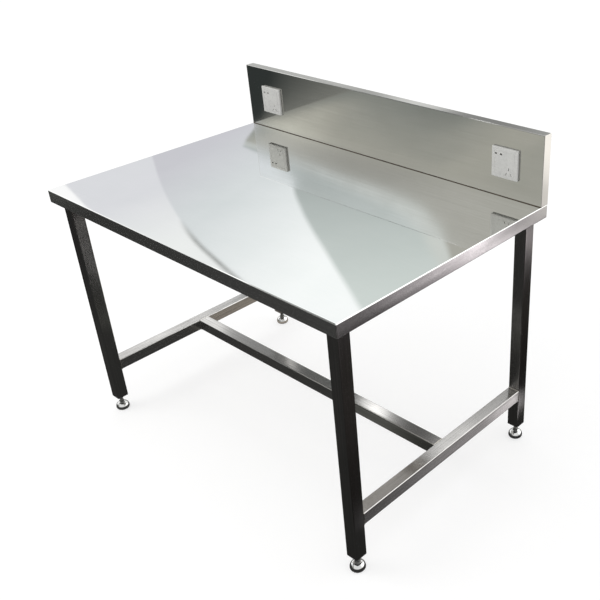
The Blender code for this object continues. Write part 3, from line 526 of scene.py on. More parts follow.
def eased_block(low, high, radius):
    return cuboid(low, high, round_along="all", radius=radius, segments=EASED_SEGMENTS)


def runs_along(edge, axis):
    direction = edge.verts[1].co - edge.verts[0].co
    return abs(direction[axis]) > 0.5 * direction.length


def move_shape(shape, way):
    bmesh.ops.translate(shape, vec=way, verts=shape.verts)


def turn_shape(shape, turn):
    bmesh.ops.rotate(shape, matrix=turn, verts=shape.verts)


def rotation(degrees, axis):
    return Matrix.Rotation(radians(degrees), 3, axis)


def middle_of(node):
    low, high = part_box(node)
    return (low + high) / 2


def angles(sides):
    return [FULL_TURN * step / sides for step in range(sides)]


def thicken(piece, wall):
    solidify = piece.modifiers.new("wall", "SOLIDIFY")
    solidify.thickness = wall
    solidify.use_even_offset = True


def round_folds(piece, radius, segments=ROUND_SEGMENTS):
    bevel = piece.modifiers.new("folds", "BEVEL")
    bevel.width = radius
    bevel.segments = segments
    bevel.limit_method = "ANGLE"
    bevel.angle_limit = SHARP_ANGLE


def skinned(rings, closed=False):
    """Faces between rings of points, joined in order; the ends are capped, or joined to each other."""
    shape = bmesh.new()
    loops = [[shape.verts.new(point) for point in ring] for ring in rings]
    pairs = list(zip(loops, loops[1:]))
    if closed:
        pairs.append((loops[-1], loops[0]))
    for first, second in pairs:
        for step in range(len(first)):
            after = (step + 1) % len(first)
            shape.faces.new((first[step], first[after], second[after], second[step]))
    if not closed:
        shape.faces.new(list(reversed(loops[0])))
        shape.faces.new(loops[-1])
    bmesh.ops.recalc_face_normals(shape, faces=shape.faces)
    return shape


def lathe(rings, sides, closed=False):
    """A turned shape from rings of (radius or radius by angle, height)."""
    turned = []
    for radius, height in rings:
        ring = []
        for angle in angles(sides):
            reach = radius(angle) if callable(radius) else radius
            ring.append((reach * cos(angle), reach * sin(angle), height))
        turned.append(ring)
    return skinned(turned, closed)


def square_ring(inner, outer, low, high, sides):
    """A ring with a square section."""
    return lathe([(inner, low), (outer, low), (outer, high), (inner, high)], sides, closed=True)


def bore(radius, low, high, sides):
    """A rod that runs past both levels, for cutting a hole."""
    return lathe([(radius, low - OVERRUN), (radius, high + OVERRUN)], sides)


def hexagon(across, chamfered=None):
    """A hexagon's reach by angle, with its corners turned down to a radius."""
    def reach(angle):
        turned = (angle % radians(60)) - radians(30)
        side = across / 2 / cos(turned)
        return side if chamfered is None else min(side, chamfered)
    return reach


def thread_rings(radius, depth, pitch, low, high):
    """Rings of a right-hand thread: its reach depends on the angle and the height."""
    steps = max(2, round((high - low) / pitch * RINGS_PER_PITCH))
    rings = []
    for step in range(steps + 1):
        height = low + (high - low) * step / steps
        rings.append((thread_reach(radius, depth, pitch, height, low, high), height))
    return rings


def thread_reach(radius, depth, pitch, height, low, high):
    fade = min(1.0, (height - low) / pitch, (high - height) / pitch)

    def reach(angle):
        phase = (height / pitch - angle / FULL_TURN) % 1.0
        return radius - depth * (1 - abs(2 * phase - 1)) * max(fade, 0.0)
    return reach


def put_turned(name, rings, sides, material, slot, node, body="frame", closed=False):
    """A turned piece on the upright line through the middle of the node that it stands for."""
    piece = put_mesh(name, lathe(rings, sides, closed), material, slot, node, body=body)
    middle = middle_of(node)
    piece.data.transform(Matrix.Translation((middle.x, middle.y, 0)))
    piece.data.set_sharp_from_angle(angle=SHARP_ANGLE)


def make_worktop():
    """The pan: top, aprons and returns, with a soft fold all round."""
    low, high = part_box("worktop_sheet")
    shape = cuboid(low, high)
    underside = [face for face in shape.faces if face.normal.z < -0.5]
    rim = list(underside[0].edges)
    bmesh.ops.delete(shape, geom=underside, context="FACES_ONLY")
    for vertex in bmesh.ops.extrude_edge_only(shape, edges=rim)["geom"]:
        if isinstance(vertex, bmesh.types.BMVert):
            vertex.co.x -= copysign(APRON_RETURN, vertex.co.x)
            vertex.co.y -= copysign(APRON_RETURN, vertex.co.y)
    pan = put_mesh("worktop_pan", shape, "worktop", "polished_steel", "worktop_sheet")
    round_folds(pan, FOLD_RADIUS)
    thicken(pan, SHEET)
    bake(pan)
    pan.data.materials.append(MATERIALS["apron"])
    for face in pan.data.polygons:
        if abs(face.normal.z) < APRON_TILT:
            face.material_index = 1
    keep_flats(pan)


def make_tubes():
    axes = {**RAILS, **STRETCHERS, **{"leg_" + corner: Z for corner in CORNERS}}
    for node, axis in axes.items():
        low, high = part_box(node)
        radius = RAIL_RADIUS if node in RAILS else TUBE_RADIUS
        shape = cuboid(low, high, open_along=axis, round_along=axis, radius=radius)
        tube = put_mesh(node + "_tube", shape, "tube_" + "xyz"[axis], "frame_steel", node)
        thicken(tube, SHEET)
        bake(tube)
        keep_flats(tube)


def weld_ring(name, axis, level, low, high, seed):
    """A rippled bead round the end of a square tube, in the plane at one level along its axis."""
    rng = random.Random(seed)
    first, second = [index for index in range(3) if index != axis]
    ends = (low, high)
    corners = [(ends[a][first], ends[b][second]) for a, b in ((0, 0), (1, 0), (1, 1), (0, 1))]
    path = []
    for start, end in zip(corners, corners[1:] + corners[:1]):
        length = hypot(end[0] - start[0], end[1] - start[1])
        steps = max(2, round(length / WELD_STEP))
        for step in range(steps):
            share = step / steps
            path.append([a + (b - a) * share for a, b in zip(start, end)])
    middle = ((low[first] + high[first]) / 2, (low[second] + high[second]) / 2)
    least, wave, chance = WELD_SWELL
    rings = []
    for index, (across, up) in enumerate(path):
        outward = Vector((across - middle[0], up - middle[1])).normalized()
        swell = WELD_RADIUS * (least + wave * sin(index * WELD_WAVE) + chance * rng.random())
        ring = []
        for angle in angles(WELD_SIDES):
            point = [0.0, 0.0, 0.0]
            point[axis] = level + swell * sin(angle)
            point[first] = across + outward.x * swell * cos(angle)
            point[second] = up + outward.y * swell * cos(angle)
            ring.append(point)
        rings.append(ring)
    put_mesh(name, skinned(rings, closed=True), "weld", "frame_steel")


def make_welds():
    for number, (node, axis) in enumerate({**STRETCHERS, **RAILS}.items()):
        low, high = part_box(node)
        small = [value + (0 if index == axis else WELD_INSET) for index, value in enumerate(low)]
        large = [value - (0 if index == axis else WELD_INSET) for index, value in enumerate(high)]
        weld_ring("weld_" + node + "_1", axis, low[axis], small, large, 2 * number)
        weld_ring("weld_" + node + "_2", axis, high[axis], small, large, 2 * number + 1)


def folded_sheet(name, outline, pull, node):
    """A sheet folded from an open outline, like the node that it stands for."""
    shape = bmesh.new()
    points = [shape.verts.new(point) for point in outline]
    folds = [shape.edges.new(pair) for pair in zip(points, points[1:])]
    pulled = bmesh.ops.extrude_edge_only(shape, edges=folds)["geom"]
    moved = [vertex for vertex in pulled if isinstance(vertex, bmesh.types.BMVert)]
    bmesh.ops.translate(shape, vec=pull, verts=moved)
    sheet = put_mesh(name, shape, "upstand", "brushed_steel", node)
    round_folds(sheet, UPSTAND_FOLD_RADIUS)
    thicken(sheet, SHEET)
    return sheet


def make_upstand():
    low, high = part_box("upstand_shell")
    foot_end = low.y + UPSTAND_FOOT
    lip_bottom = high.z - UPSTAND_LIP
    outline = [(foot_end, low.z), (low.y, low.z), (low.y, high.z), (high.y, high.z), (high.y, lip_bottom)]
    points = [(low.x, y, z) for y, z in outline]
    shell = folded_sheet("upstand_sheet", points, (high.x - low.x, 0, 0), "upstand_shell")
    cutouts = []
    for side, _ in SIDES:
        middle = middle_of("socket_core_" + side)
        start = (middle.x - CUTOUT_HALF, low.y - OVERRUN, middle.z - CUTOUT_HALF)
        end = (middle.x + CUTOUT_HALF, low.y + SHEET + OVERRUN, middle.z + CUTOUT_HALF)
        cutouts.append(cuboid(start, end))
    apply_cuts(shell, cutouts)
    keep_flats(shell)
    make_end_caps()
    make_brace()
    make_sealing_bead(low, high)


def make_end_caps():
    for side, sign in SIDES:
        node = "upstand_end_" + side
        low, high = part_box(node)
        outer, far = (high.x, low.x) if sign > 0 else (low.x, high.x)
        inner = outer - sign * SHEET
        start, end = sorted((inner, outer))
        plate = eased_block((start, low.y, low.z), (end, high.y, high.z), CAP_ROUND)
        cap = put_mesh("upstand_cap_" + side, plate, "upstand", "brushed_steel", node)
        keep_flats(cap)
        start, end = sorted((far, inner + sign * SHEET / 2))
        top = high.z - CAP_RETURN_DROP
        rear = eased_block((start, high.y - SHEET, low.z + SHEET), (end, high.y, top), CAP_RETURN_ROUND)
        keep_flats(put_mesh("upstand_cap_return_" + side, rear, "upstand", "brushed_steel"))


def make_brace():
    low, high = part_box("upstand_brace")
    outline = [(high.x, low.y, low.z), (low.x, low.y, low.z), (low.x, high.y, low.z)]
    brace = folded_sheet("upstand_stay", outline, (0, 0, high.z - low.z), "upstand_brace")
    bake(brace)
    keep_flats(brace)


def make_sealing_bead(low, high):
    """A thin bead of sealant along the foot of the upstand."""
    rng = random.Random(BEAD_SEED)
    least, chance = BEAD_SWELL
    y, z = low.y + BEAD_PLACE[0], low.z + BEAD_PLACE[1]
    rings = []
    for step in range(BEAD_STEPS + 1):
        x = low.x + (high.x - low.x) * step / BEAD_STEPS
        swell = BEAD_RADIUS * (least + chance * rng.random())
        ring = [(x, y + swell * cos(angle), z + swell * sin(angle)) for angle in angles(WELD_SIDES)]
        rings.append(ring)
    put_mesh("upstand_sealing_bead", skinned(rings), "sealant", "brushed_steel")


def make_stem(corner):
    """Threaded shank with a turned point, chamfered hexagon collar, pin and riveted head."""
    node = "foot_stem_" + corner
    low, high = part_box(node)
    start, end = COLLAR_LEVEL, COLLAR_LEVEL + COLLAR_HEIGHT
    sharp, turned = hexagon(COLLAR_ACROSS), hexagon(COLLAR_ACROSS, COLLAR_ROUND)
    tip, tip_length = STEM_POINT
    rings = [(radius, low.z + rise) for radius, rise in RIVET_PROFILE]
    rings += [(PIN_RADIUS, start), (turned, start), (sharp, start + COLLAR_EDGE)]
    rings += [(sharp, end - COLLAR_EDGE), (turned, end), (COLLAR_NECK, end)]
    rings += thread_rings(FOOT_RADIUS, FOOT_THREAD_DEPTH, FOOT_PITCH, end + THREAD_START, high.z - tip_length)
    rings.append((tip, high.z))
    # The stem takes the darker copy of the zinc, which is painted shade.
    put_turned("threaded_" + node, rings, HEXAGON_SIDES, "painted_shade_zinc", "zinc", node, "stem_" + corner)


def make_cup(corner):
    """The bright domed cup: a rolled rim, a full waist and a rounded shoulder up to its flat top."""
    node = "foot_cup_" + corner
    low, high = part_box(node)
    rise = high.z - CUP_WAIST_LEVEL
    quarter = [radians(90) * step / CUP_STEPS for step in range(CUP_STEPS + 1)]
    arc = [(cos(angle), sin(angle)) for angle in quarter]
    dome = [(CUP_TOP + (CUP_WAIST - CUP_TOP) * across, CUP_WAIST_LEVEL + rise * up) for across, up in arc]
    rings = [(CUP_BORE, high.z)] + dome[::-1]
    rings += [(radius, low.z + up) for radius, up in CUP_RIM_PROFILE]
    for (reach, height), (across, up) in zip(dome, arc):
        rings.append((reach - CUP_WALL * across, height - CUP_WALL * up))
    rings.append((CUP_BORE, high.z - CUP_WALL))
    put_turned("domed_" + node, rings, CUP_SIDES, "chrome", "chrome", node, "pad_" + corner, closed=True)


def make_sole(corner):
    """The rubber disc: grooves round its edge and rings under it."""
    node = "foot_sole_" + corner
    put_turned("rubber_" + node, SOLE_PROFILE, SOLE_SIDES, "rubber", "rubber", node, "pad_" + corner)


def make_nut(corner):
    """A chamfered hexagon nut with a smooth bore."""
    node = "lock_nut_" + corner
    low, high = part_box(node)
    sharp, turned = hexagon(NUT_ACROSS), hexagon(NUT_ACROSS, NUT_ROUND)
    mouth = NUT_BORE + NUT_BORE_EDGE
    rings = [(mouth, low.z), (NUT_FACE, low.z), (turned, low.z + NUT_ROUND_RISE), (sharp, low.z + NUT_EDGE)]
    rings += [(sharp, high.z - NUT_EDGE), (turned, high.z - NUT_ROUND_RISE), (NUT_FACE, high.z)]
    rings += [(mouth, high.z), (NUT_BORE, high.z - NUT_BORE_EDGE), (NUT_BORE, low.z + NUT_BORE_EDGE)]
    # The nut takes the darker copy of the zinc, which is painted shade.
    put_turned("chamfered_" + node, rings, HEXAGON_SIDES, "painted_shade_zinc", "zinc", node, closed=True)


def make_feet():
    for corner in CORNERS:
        make_stem(corner)
        make_cup(corner)
        make_sole(corner)
        make_nut(corner)


def make_insert(corner):
    """The plug in a leg's end: an eased flange below the tube, a block inside it and the foot's bore."""
    node = "leg_insert_" + corner
    low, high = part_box(node)
    inset = SHEET + INSERT_GAP
    shape = cuboid(low, (high.x, high.y, low.z + INSERT_FLANGE), round_along=Z, radius=TUBE_RADIUS)
    insert = put_mesh("eased_insert_" + corner, shape, "nylon", "insert_nylon", node)
    round_folds(insert, INSERT_EDGE, EASED_SEGMENTS)
    start = (low.x + inset, low.y + inset, low.z + INSERT_OVERLAP)
    plug = eased_block(start, (high.x - inset, high.y - inset, high.z), INSERT_ROUND)
    apply_cuts(insert, [plug], "UNION")
    hole = bore(NUT_BORE, low.z, high.z, BORE_SIDES)
    middle = middle_of(node)
    move_shape(hole, (middle.x, middle.y, 0))
    apply_cuts(insert, [hole])
    keep_flats(insert)


def make_upstand_screws():
    """Countersunk screws with a dished head and a fine thread."""
    for number in range(SCREW_COUNT):
        node = "upstand_screw_" + str(number + 1)
        low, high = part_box(node)
        tip, tip_length = SCREW_POINT
        start = low.z + SCREW_HEAD + THREAD_START
        rings = [(radius, low.z + rise) for radius, rise in SCREW_PROFILE]
        rings += thread_rings(SCREW_RADIUS, SCREW_THREAD_DEPTH, SCREW_PITCH, start, high.z - tip_length)
        rings.append((tip, high.z))
        put_turned("threaded_" + node, rings, SCREW_SIDES, "zinc", "zinc", node)


def in_socket(side, shape):
    """Moves a shape from the socket's own frame to its place."""
    middle = middle_of("cover_plate_" + side)
    move_shape(shape, (middle.x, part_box("upstand_shell")[0].y, middle.z))
    return shape


def opening(side, place, size, front, back, tilt=0, radius=SLOT_ROUND):
    """A cutter for a hole or slot, with its edges along the depth rounded."""
    wide, high = size[0] / 2, size[1] / 2
    low_corner, high_corner = (-wide, front, -high), (wide, back, high)
    shape = cuboid(low_corner, high_corner, round_along=Y, radius=radius, segments=OPENING_SEGMENTS)
    turn_shape(shape, rotation(tilt, "Y"))
    move_shape(shape, (place[0], 0, place[1]))
    return in_socket(side, shape)


def plate_openings(side, front, back, grown=0.0, shift=0.0):
    """Cutters for the three slots, moved sideways and grown."""
    size = (SLOT_SIZE[0] + grown, SLOT_SIZE[1] + grown)
    return [opening(side, (across + shift, up), size, front, back, tilt) for across, up, tilt in SLOTS]


def round_openings(side, front, back, grown=0.0):
    size = (ROUND_HOLE_SIZE[0] + grown, ROUND_HOLE_SIZE[1] + grown)
    radius = ROUND_HOLE_BEND * size[1]
    return [opening(side, place, size, front, back, radius=radius) for place in ROUND_HOLES]


def make_plate(side):
    """The cover plate: a raised panel in a sloping border, a fine groove round it and flared openings."""
    half = PLATE_HALF
    shape = cuboid((-half, PLATE_FRONT + PLATE_CROWN, -half), (half, PLATE_BACK, half))
    panel = [face for face in shape.faces if face.normal.y < -0.5]
    bmesh.ops.inset_region(shape, faces=panel, thickness=PLATE_BORDER)
    raised = {vertex for face in panel for vertex in face.verts}
    bmesh.ops.translate(shape, vec=(0, -PLATE_CROWN, 0), verts=list(raised))
    node = "cover_plate_" + side
    plate = put_mesh("socket_plate_" + side, in_socket(side, shape), "plate", "white_plastic", node)
    round_folds(plate, PLATE_EDGE, OPENING_SEGMENTS)
    inner = half - PLATE_WALL
    floor = PLATE_FRONT + PLATE_CROWN + PLATE_WALL
    hollow = cuboid((-inner, floor, -inner), (inner, OVERRUN, inner))
    reach = (half - PLATE_BORDER) / cos(radians(45))
    groove = square_ring(reach - GROOVE_WIDTH, reach, PLATE_FRONT - OVERRUN, PLATE_FRONT + GROOVE_DEPTH, 4)
    turn_shape(groove, rotation(-90, "X") @ rotation(45, "Z"))
    cutters = [in_socket(side, hollow), in_socket(side, groove)]
    for make in (round_openings, plate_openings):
        cutters += make(side, PLATE_FRONT - OVERRUN, floor + OVERRUN)
        cutters += make(side, PLATE_FRONT - OVERRUN, PLATE_FRONT + LEAD_IN, FLARE)
    apply_cuts(plate, cutters)
    keep_flats(plate)


def make_shutter(side):
    """The sliding plate behind the slots, with eased edges and its own slots."""
    node = "shutter_" + side
    shape = eased_block(*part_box(node), SHUTTER_ROUND)
    shutter = put_mesh("slotted_" + node, shape, "core", "core_plastic", node, body=node)
    apply_cuts(shutter, plate_openings(side, PLATE_FRONT, 0.0, SHUTTER_PLAY, -SHUTTER_TRAVEL))
    keep_flats(shutter)


def knockout(place, turn):
    """A cutter for the round groove of a knock-out."""
    inner = KNOCKOUT_RADIUS - KNOCKOUT_GROOVE
    shape = square_ring(inner, KNOCKOUT_RADIUS, -KNOCKOUT_DEPTH, OVERRUN, ENTRY_SIDES)
    turn_shape(shape, turn)
    move_shape(shape, place)
    return shape


def make_box(side):
    """The pressed box behind the sheet: round-cornered, with knock-outs, a cable entry and two lugs."""
    node = "back_box_" + side
    low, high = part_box(node)
    middle = (low + high) / 2
    shape = cuboid(low, high, round_along=Y, radius=TUBE_RADIUS)
    box = put_mesh("pressed_" + node, shape, "galvanised", "galvanised", node)
    wall = Vector((BOX_WALL, 0, BOX_WALL))
    start, end = low + wall, high - wall
    start.y, end.y = low.y - OVERRUN, high.y - BOX_WALL
    hollow = cuboid(start, end, round_along=Y, radius=BOX_ROUND)
    entry = bore(ENTRY_RADIUS, low.z, low.z + BOX_WALL, ENTRY_SIDES)
    move_shape(entry, (middle.x, middle.y, 0))
    knockouts = (
        ((middle.x - KNOCKOUT_OFFSET, high.y, middle.z), rotation(-90, "X")),
        ((middle.x + KNOCKOUT_OFFSET, high.y, middle.z), rotation(-90, "X")),
        ((middle.x, middle.y, high.z), Matrix.Identity(3)),
        ((high.x, middle.y, middle.z), rotation(90, "Y")),
        ((low.x, middle.y, middle.z), rotation(-90, "Y")),
    )
    apply_cuts(box, [hollow, entry] + [knockout(place, turn) for place, turn in knockouts])
    keep_flats(box)
    for number, (word, sign) in enumerate(SIDES):
        screw = "socket_screw_" + side + "_" + str(number + 1)
        make_lug("box_lug_" + side + "_" + word, low, high, sign, screw)


def make_lug(name, low, high, sign, screw):
    """A lug at one side of a box, bored for its screw."""
    middle = (low + high) / 2
    ends = sorted((sign * BOX_LUG_START, sign * ((high.x - low.x) / 2 - BOX_WALL)))
    start = (middle.x + ends[0], low.y, middle.z - BOX_LUG_HALF)
    end = (middle.x + ends[1], low.y + BOX_LUG_DEPTH, middle.z + BOX_LUG_HALF)
    shape = cuboid(start, end, round_along=Y, radius=BOX_ROUND, segments=BOX_LUG_SEGMENTS)
    lug = put_mesh(name, shape, "galvanised", "galvanised")
    hole = bore(BOX_LUG_BORE, low.y, low.y + BOX_LUG_DEPTH, SCREW_SIDES)
    turn_shape(hole, rotation(-90, "X"))
    move_shape(hole, (middle_of(screw).x, 0, middle.z))
    apply_cuts(lug, [hole])
    keep_flats(lug)


def make_small_parts():
    for corner in CORNERS:
        make_insert(corner)
    make_upstand_screws()
    for side, _ in SIDES:
        make_plate(side)
        make_shutter(side)
        make_box(side)


def dress_cad_nodes():
    """Materials for the nodes that keep their own shape."""
    for start, material in OWN_SHAPES.items():
        for name, node in NODES.items():
            if name.startswith(start):
                if not node.material_slots:
                    node.data.materials.append(None)
                for slot in node.material_slots:
                    slot.material = MATERIALS[material]


def make_camera():
    """The photograph's place, angle and framing."""
    cosine, sine = cos(CAMERA_AZIMUTH), sin(CAMERA_AZIMUTH)
    level = cos(CAMERA_DOWN)
    ahead = Vector((-sine * level, cosine * level, -sin(CAMERA_DOWN)))
    right = Vector((cosine, sine, 0))
    up = right.cross(ahead)
    turned_right = cos(CAMERA_ROLL) * right + sin(CAMERA_ROLL) * up
    turned_up = -sin(CAMERA_ROLL) * right + cos(CAMERA_ROLL) * up
    data = bpy.data.cameras.new("camera")
    data.sensor_width = SENSOR_WIDTH
    data.lens = FOCAL_PIXELS / PICTURE_PIXELS * SENSOR_WIDTH
    data.shift_x = (PICTURE_PIXELS / 2 - CENTRE_PIXELS[0]) / PICTURE_PIXELS
    data.shift_y = (CENTRE_PIXELS[1] - PICTURE_PIXELS / 2) / PICTURE_PIXELS
    camera = link_object("camera", data)
    columns = [(*way, 0) for way in (turned_right, turned_up, -ahead)]
    camera.matrix_world = Matrix([*columns, (*CAMERA_PLACE, 1)]).transposed()
    bpy.context.scene.camera = camera


def curve_of(value, points):
    """A smooth curve through points (value, result), level beyond its ends."""
    lows = [min(column) for column in zip(*points)]
    highs = [max(column) for column in zip(*points)]
    made = join("FloatCurve", {"Value": spread(value, lows[0], highs[0])})
    curve = made.mapping.curves[0]
    scaled = [[(v - low) / (high - low) for v, low, high in zip(point, lows, highs)] for point in points]
    curve.points[0].location = scaled[0]
    curve.points[1].location = scaled[-1]
    for place in scaled[1:-1]:
        curve.points.new(*place)
    for point in curve.points:
        point.handle_type = "AUTO_CLAMPED"
    made.mapping.update()
    return spread(made.outputs[0], 0.0, 1.0, lows[1], highs[1])


def gray(level):
    """An sRGB level from 0 to 255 as linear light."""
    share = level / 255
    return share / 12.92 if share <= 0.04045 else ((share + 0.055) / 1.055) ** 2.4


def tone(red, green, blue, given_back=1.0):
    """The light that looks like this sRGB color on a surface that gives back a share of it."""
    return tuple(gray(level) / given_back for level in (red, green, blue))


def light_curve(value, points, given_back=1.0):
    """A curve of light through points (value, sRGB level), on a face that gives back a share of it."""
    return curve_of(value, [(place, gray(level) / given_back) for place, level in points])


def between(share, first, second):
    return join("Mix", {"Factor": share, "A": first, "B": second}).outputs[0]


def tinted(light, tint):
    return join("CombineColor", {index: times(light, share) for index, share in enumerate(tint)}).outputs[0]


def make_world():
    """White to the eye and plain for soft light; what gloss shows is a room with bright and gray parts.

    A direction is named by where it shows on the level worktop to the photo's camera: across and depth."""
    world = bpy.data.worlds.new("studio")
    bpy.context.scene.world = world
    world.use_nodes = True
    world.cycles.sampling_method = "NONE"
    tree = world.node_tree
    tree.nodes.clear()
    way = add(tree, "TexCoord").outputs["Generated"]
    parts = add(tree, "SeparateXYZ", {"Vector": way}).outputs
    rise = calculate("MAXIMUM", parts[2], 0.02)
    drop = CAMERA_PLACE[2] - WORKTOP_LEVEL
    sideways = calculate("DIVIDE", parts[0], rise)
    across = times_plus(sideways, drop, CAMERA_PLACE[0])
    depth = calculate("DIVIDE", calculate("ABSOLUTE", parts[1]), rise)
    depth = times_plus(depth, drop, CAMERA_PLACE[1])
    front = spread(parts[1], 0.02, -0.02)
    color = ceiling(across, depth)
    color = faded(depth, 0.7, 0.76, color, far_wall(across))
    color = mixed(front, color, front_wall(across, depth, color))
    overhead = calculate("MAXIMUM", spread(depth, -0.42, -0.45), spread(across, 0.72, 0.8))
    place = times_plus(sideways, CAMERA_PLACE[2] - STRETCHER_LEVEL, CAMERA_PLACE[0])
    color = mixed(overhead, color, high_ceiling(parts[0], parts[1], place))
    low_part = spread(parts[2], 0.16, 0.02, smooth=True)
    color = mixed(low_part, color, tone(132, 130, 126))
    path = add(tree, "LightPath")
    seen = mixed(path.outputs["Is Glossy Ray"], (1.0, 1.0, 1.0), color)
    lit = add(tree, "Background", {"Color": seen, "Strength": 1.0})
    add(tree, "OutputWorld", {"Surface": lit.outputs[0]})


def ceiling(across, depth):
    """A bright part, a gray one past a long curve, a pale band, a warm part and a dull part past a crease."""
    slant = times_plus(depth, 0.35, across)
    bright = faded(slant, -0.5, -0.18, tone(204, 204, 210), tone(217, 222, 223))
    bright = faded(slant, -0.15, 0.3, bright, tone(252, 255, 254))
    dull = faded(across, -0.35, 0.0, tone(221, 222, 226), tone(240, 242, 241))
    crease = curve_of(across, [
        (-0.8, 0.07), (-0.577, -0.057), (-0.305, -0.2), (-0.134, -0.275), (0.017, -0.334), (0.168, -0.375),
        (0.4, -0.43),
    ])
    past_crease = minus(crease, depth)
    color = faded(past_crease, -0.004, 0.004, bright, dull)
    line = spread(calculate("ABSOLUTE", past_crease), 0.012, 0.001)
    line = times(line, spread(across, -0.12, 0.02, 0.0, 0.85))
    color = mixed(line, color, tone(158, 160, 158))
    edge = curve_of(across, [
        (-0.62, 0.42), (-0.54, 0.318), (-0.48, 0.236), (-0.45, 0.203), (-0.432, 0.188), (-0.4, 0.182),
        (-0.357, 0.178), (-0.3, 0.175), (-0.247, 0.167), (-0.19, 0.147), (-0.14, 0.121), (-0.08, 0.09),
        (-0.033, 0.047), (0.099, -0.043), (0.204, -0.105), (0.333, -0.177), (0.431, -0.232),
        (0.517, -0.279), (0.586, -0.318), (0.8, -0.43),
    ])
    past_edge = spread(minus(depth, edge), -0.006, 0.012)
    away = minus(across, depth)
    past = faded(away, -0.16, 0.83, tone(168, 175, 173), tone(208, 216, 212))
    near = curve_of(across, [
        (-0.3, 0.19), (-0.16, 0.165), (0.0, 0.155), (0.1, 0.141), (0.2, 0.128), (0.3, 0.103), (0.38, 0.07),
        (0.44, 0.035), (0.5, -0.01), (0.6, -0.08),
    ])
    far = curve_of(across, [
        (-0.3, 0.225), (-0.1, 0.215), (0.0, 0.205), (0.14, 0.2), (0.26, 0.192), (0.35, 0.17), (0.41, 0.135),
        (0.47, 0.1), (0.52, 0.055), (0.56, 0.02), (0.62, -0.035),
    ])
    band = faded(across, -0.2, 0.4, tone(190, 194, 191), tone(204, 208, 203))
    soft = spread(across, 0.2, 0.45, 0.012, 0.05)
    onto_band = calculate("DIVIDE", minus(depth, near), soft)
    past = mixed(spread(onto_band, 0.0, 1.0, smooth=True), past, band)
    warm = [(-0.33, 174), (-0.2, 160), (-0.05, 151), (0.1, 152), (0.25, 161), (0.42, 169)]
    warm = tinted(light_curve(across, warm), (1.0, 0.99, 0.885))
    warm = faded(across, -0.42, -0.52, warm, tone(150, 154, 149))
    off_band = minus(depth, far)
    past = mixed(spread(off_band, -0.012, 0.016, smooth=True), past, warm)
    color = mixed(past_edge, color, past)
    corner = times_plus(depth, 4.2, across)
    return faded(corner, -2.04, -2.07, color, tone(255, 255, 255))


def far_wall(across):
    """Low behind the table, as the upstand's narrow top shows it."""
    points = [
        (-1.24, 178), (-1.1, 167), (-0.96, 173), (-0.69, 174), (-0.55, 156), (-0.41, 181), (-0.27, 200),
        (-0.13, 150), (0.01, 123), (0.15, 129), (0.286, 150),
    ]
    return tinted(light_curve(across, points, FAR_GIVES), (0.99, 1.0, 0.98))


def front_wall(across, depth, color):
    """In front, seen by way of the upstand: the same as behind it, then warm, with a dark left end."""
    same = mixed(1.0, color, tuple(1 / share for share in FRONT_GIVES), "MULTIPLY")
    same = faded(depth, 0.03, 0.0, same, tone(205, 208, 206, FRONT_GIVES[0]))
    foot = [
        (-0.63, 124), (-0.585, 174), (-0.525, 200), (-0.454, 203), (-0.3, 178), (-0.22, 164), (0.26, 158),
        (0.54, 152),
    ]
    middle = [
        (-0.9, 46), (-0.8, 52), (-0.7, 70), (-0.65, 90), (-0.6, 125), (-0.55, 160), (-0.5, 175),
        (-0.43, 167), (-0.36, 156), (-0.21, 151), (0.014, 146), (0.13, 145), (0.24, 156), (0.42, 152),
    ]
    top = [
        (-1.15, 36), (-0.93, 66), (-0.86, 80), (-0.8, 89), (-0.7, 100), (-0.57, 124), (-0.45, 128),
        (-0.2, 122), (-0.07, 124), (0.05, 148), (0.25, 158), (0.32, 150),
    ]
    foot, middle, top = [light_curve(across, points, LOW_FRONT_GIVES) for points in (foot, middle, top)]
    light = between(spread(depth, 0.4, 0.47), foot, middle)
    light = between(spread(depth, 0.52, 0.83), light, top)
    cool = spread(light, 0.04, 0.5)
    direct = mixed(cool, tinted(light, (0.9, 1.02, 0.99)), tinted(light, (1.01, 1.0, 0.88)))
    return faded(depth, 0.36, 0.39, same, direct)


def high_ceiling(along, back, across):
    """Overhead: what the tops of the stretchers draw out, named for each by where it shows there."""
    centre = light_curve(along, [
        (-0.76, 190), (-0.728, 230), (-0.717, 162), (-0.708, 134), (-0.69, 114), (-0.676, 100),
        (-0.663, 82), (-0.648, 48), (-0.62, 43), (-0.6, 60), (-0.588, 130), (-0.578, 275), (-0.566, 286),
        (-0.557, 175), (-0.545, 118), (-0.533, 86), (-0.52, 56), (-0.49, 38),
    ], OVERHEAD_GIVES)
    left = [(0.36, 222), (0.42, 214), (0.46, 222), (0.5, 224), (0.54, 212)]
    left = light_curve(back, left, OVERHEAD_GIVES)
    right = light_curve(back, [
        (0.485, 40), (0.505, 66), (0.518, 118), (0.531, 152), (0.545, 168), (0.56, 150), (0.57, 132),
        (0.582, 156), (0.589, 214), (0.607, 219), (0.62, 194), (0.632, 150), (0.655, 137), (0.67, 100),
    ], OVERHEAD_GIVES)
    open_part = spread(back, 0.2, 0.4, gray(188) / OVERHEAD_GIVES, 1.7)
    light = between(spread(across, -0.52, -0.545), centre, left)
    light = between(spread(across, 0.525, 0.54), light, right)
    light = between(spread(across, 0.6, 0.75), light, open_part)
    return tinted(light, (1.0, 1.0, 0.985))


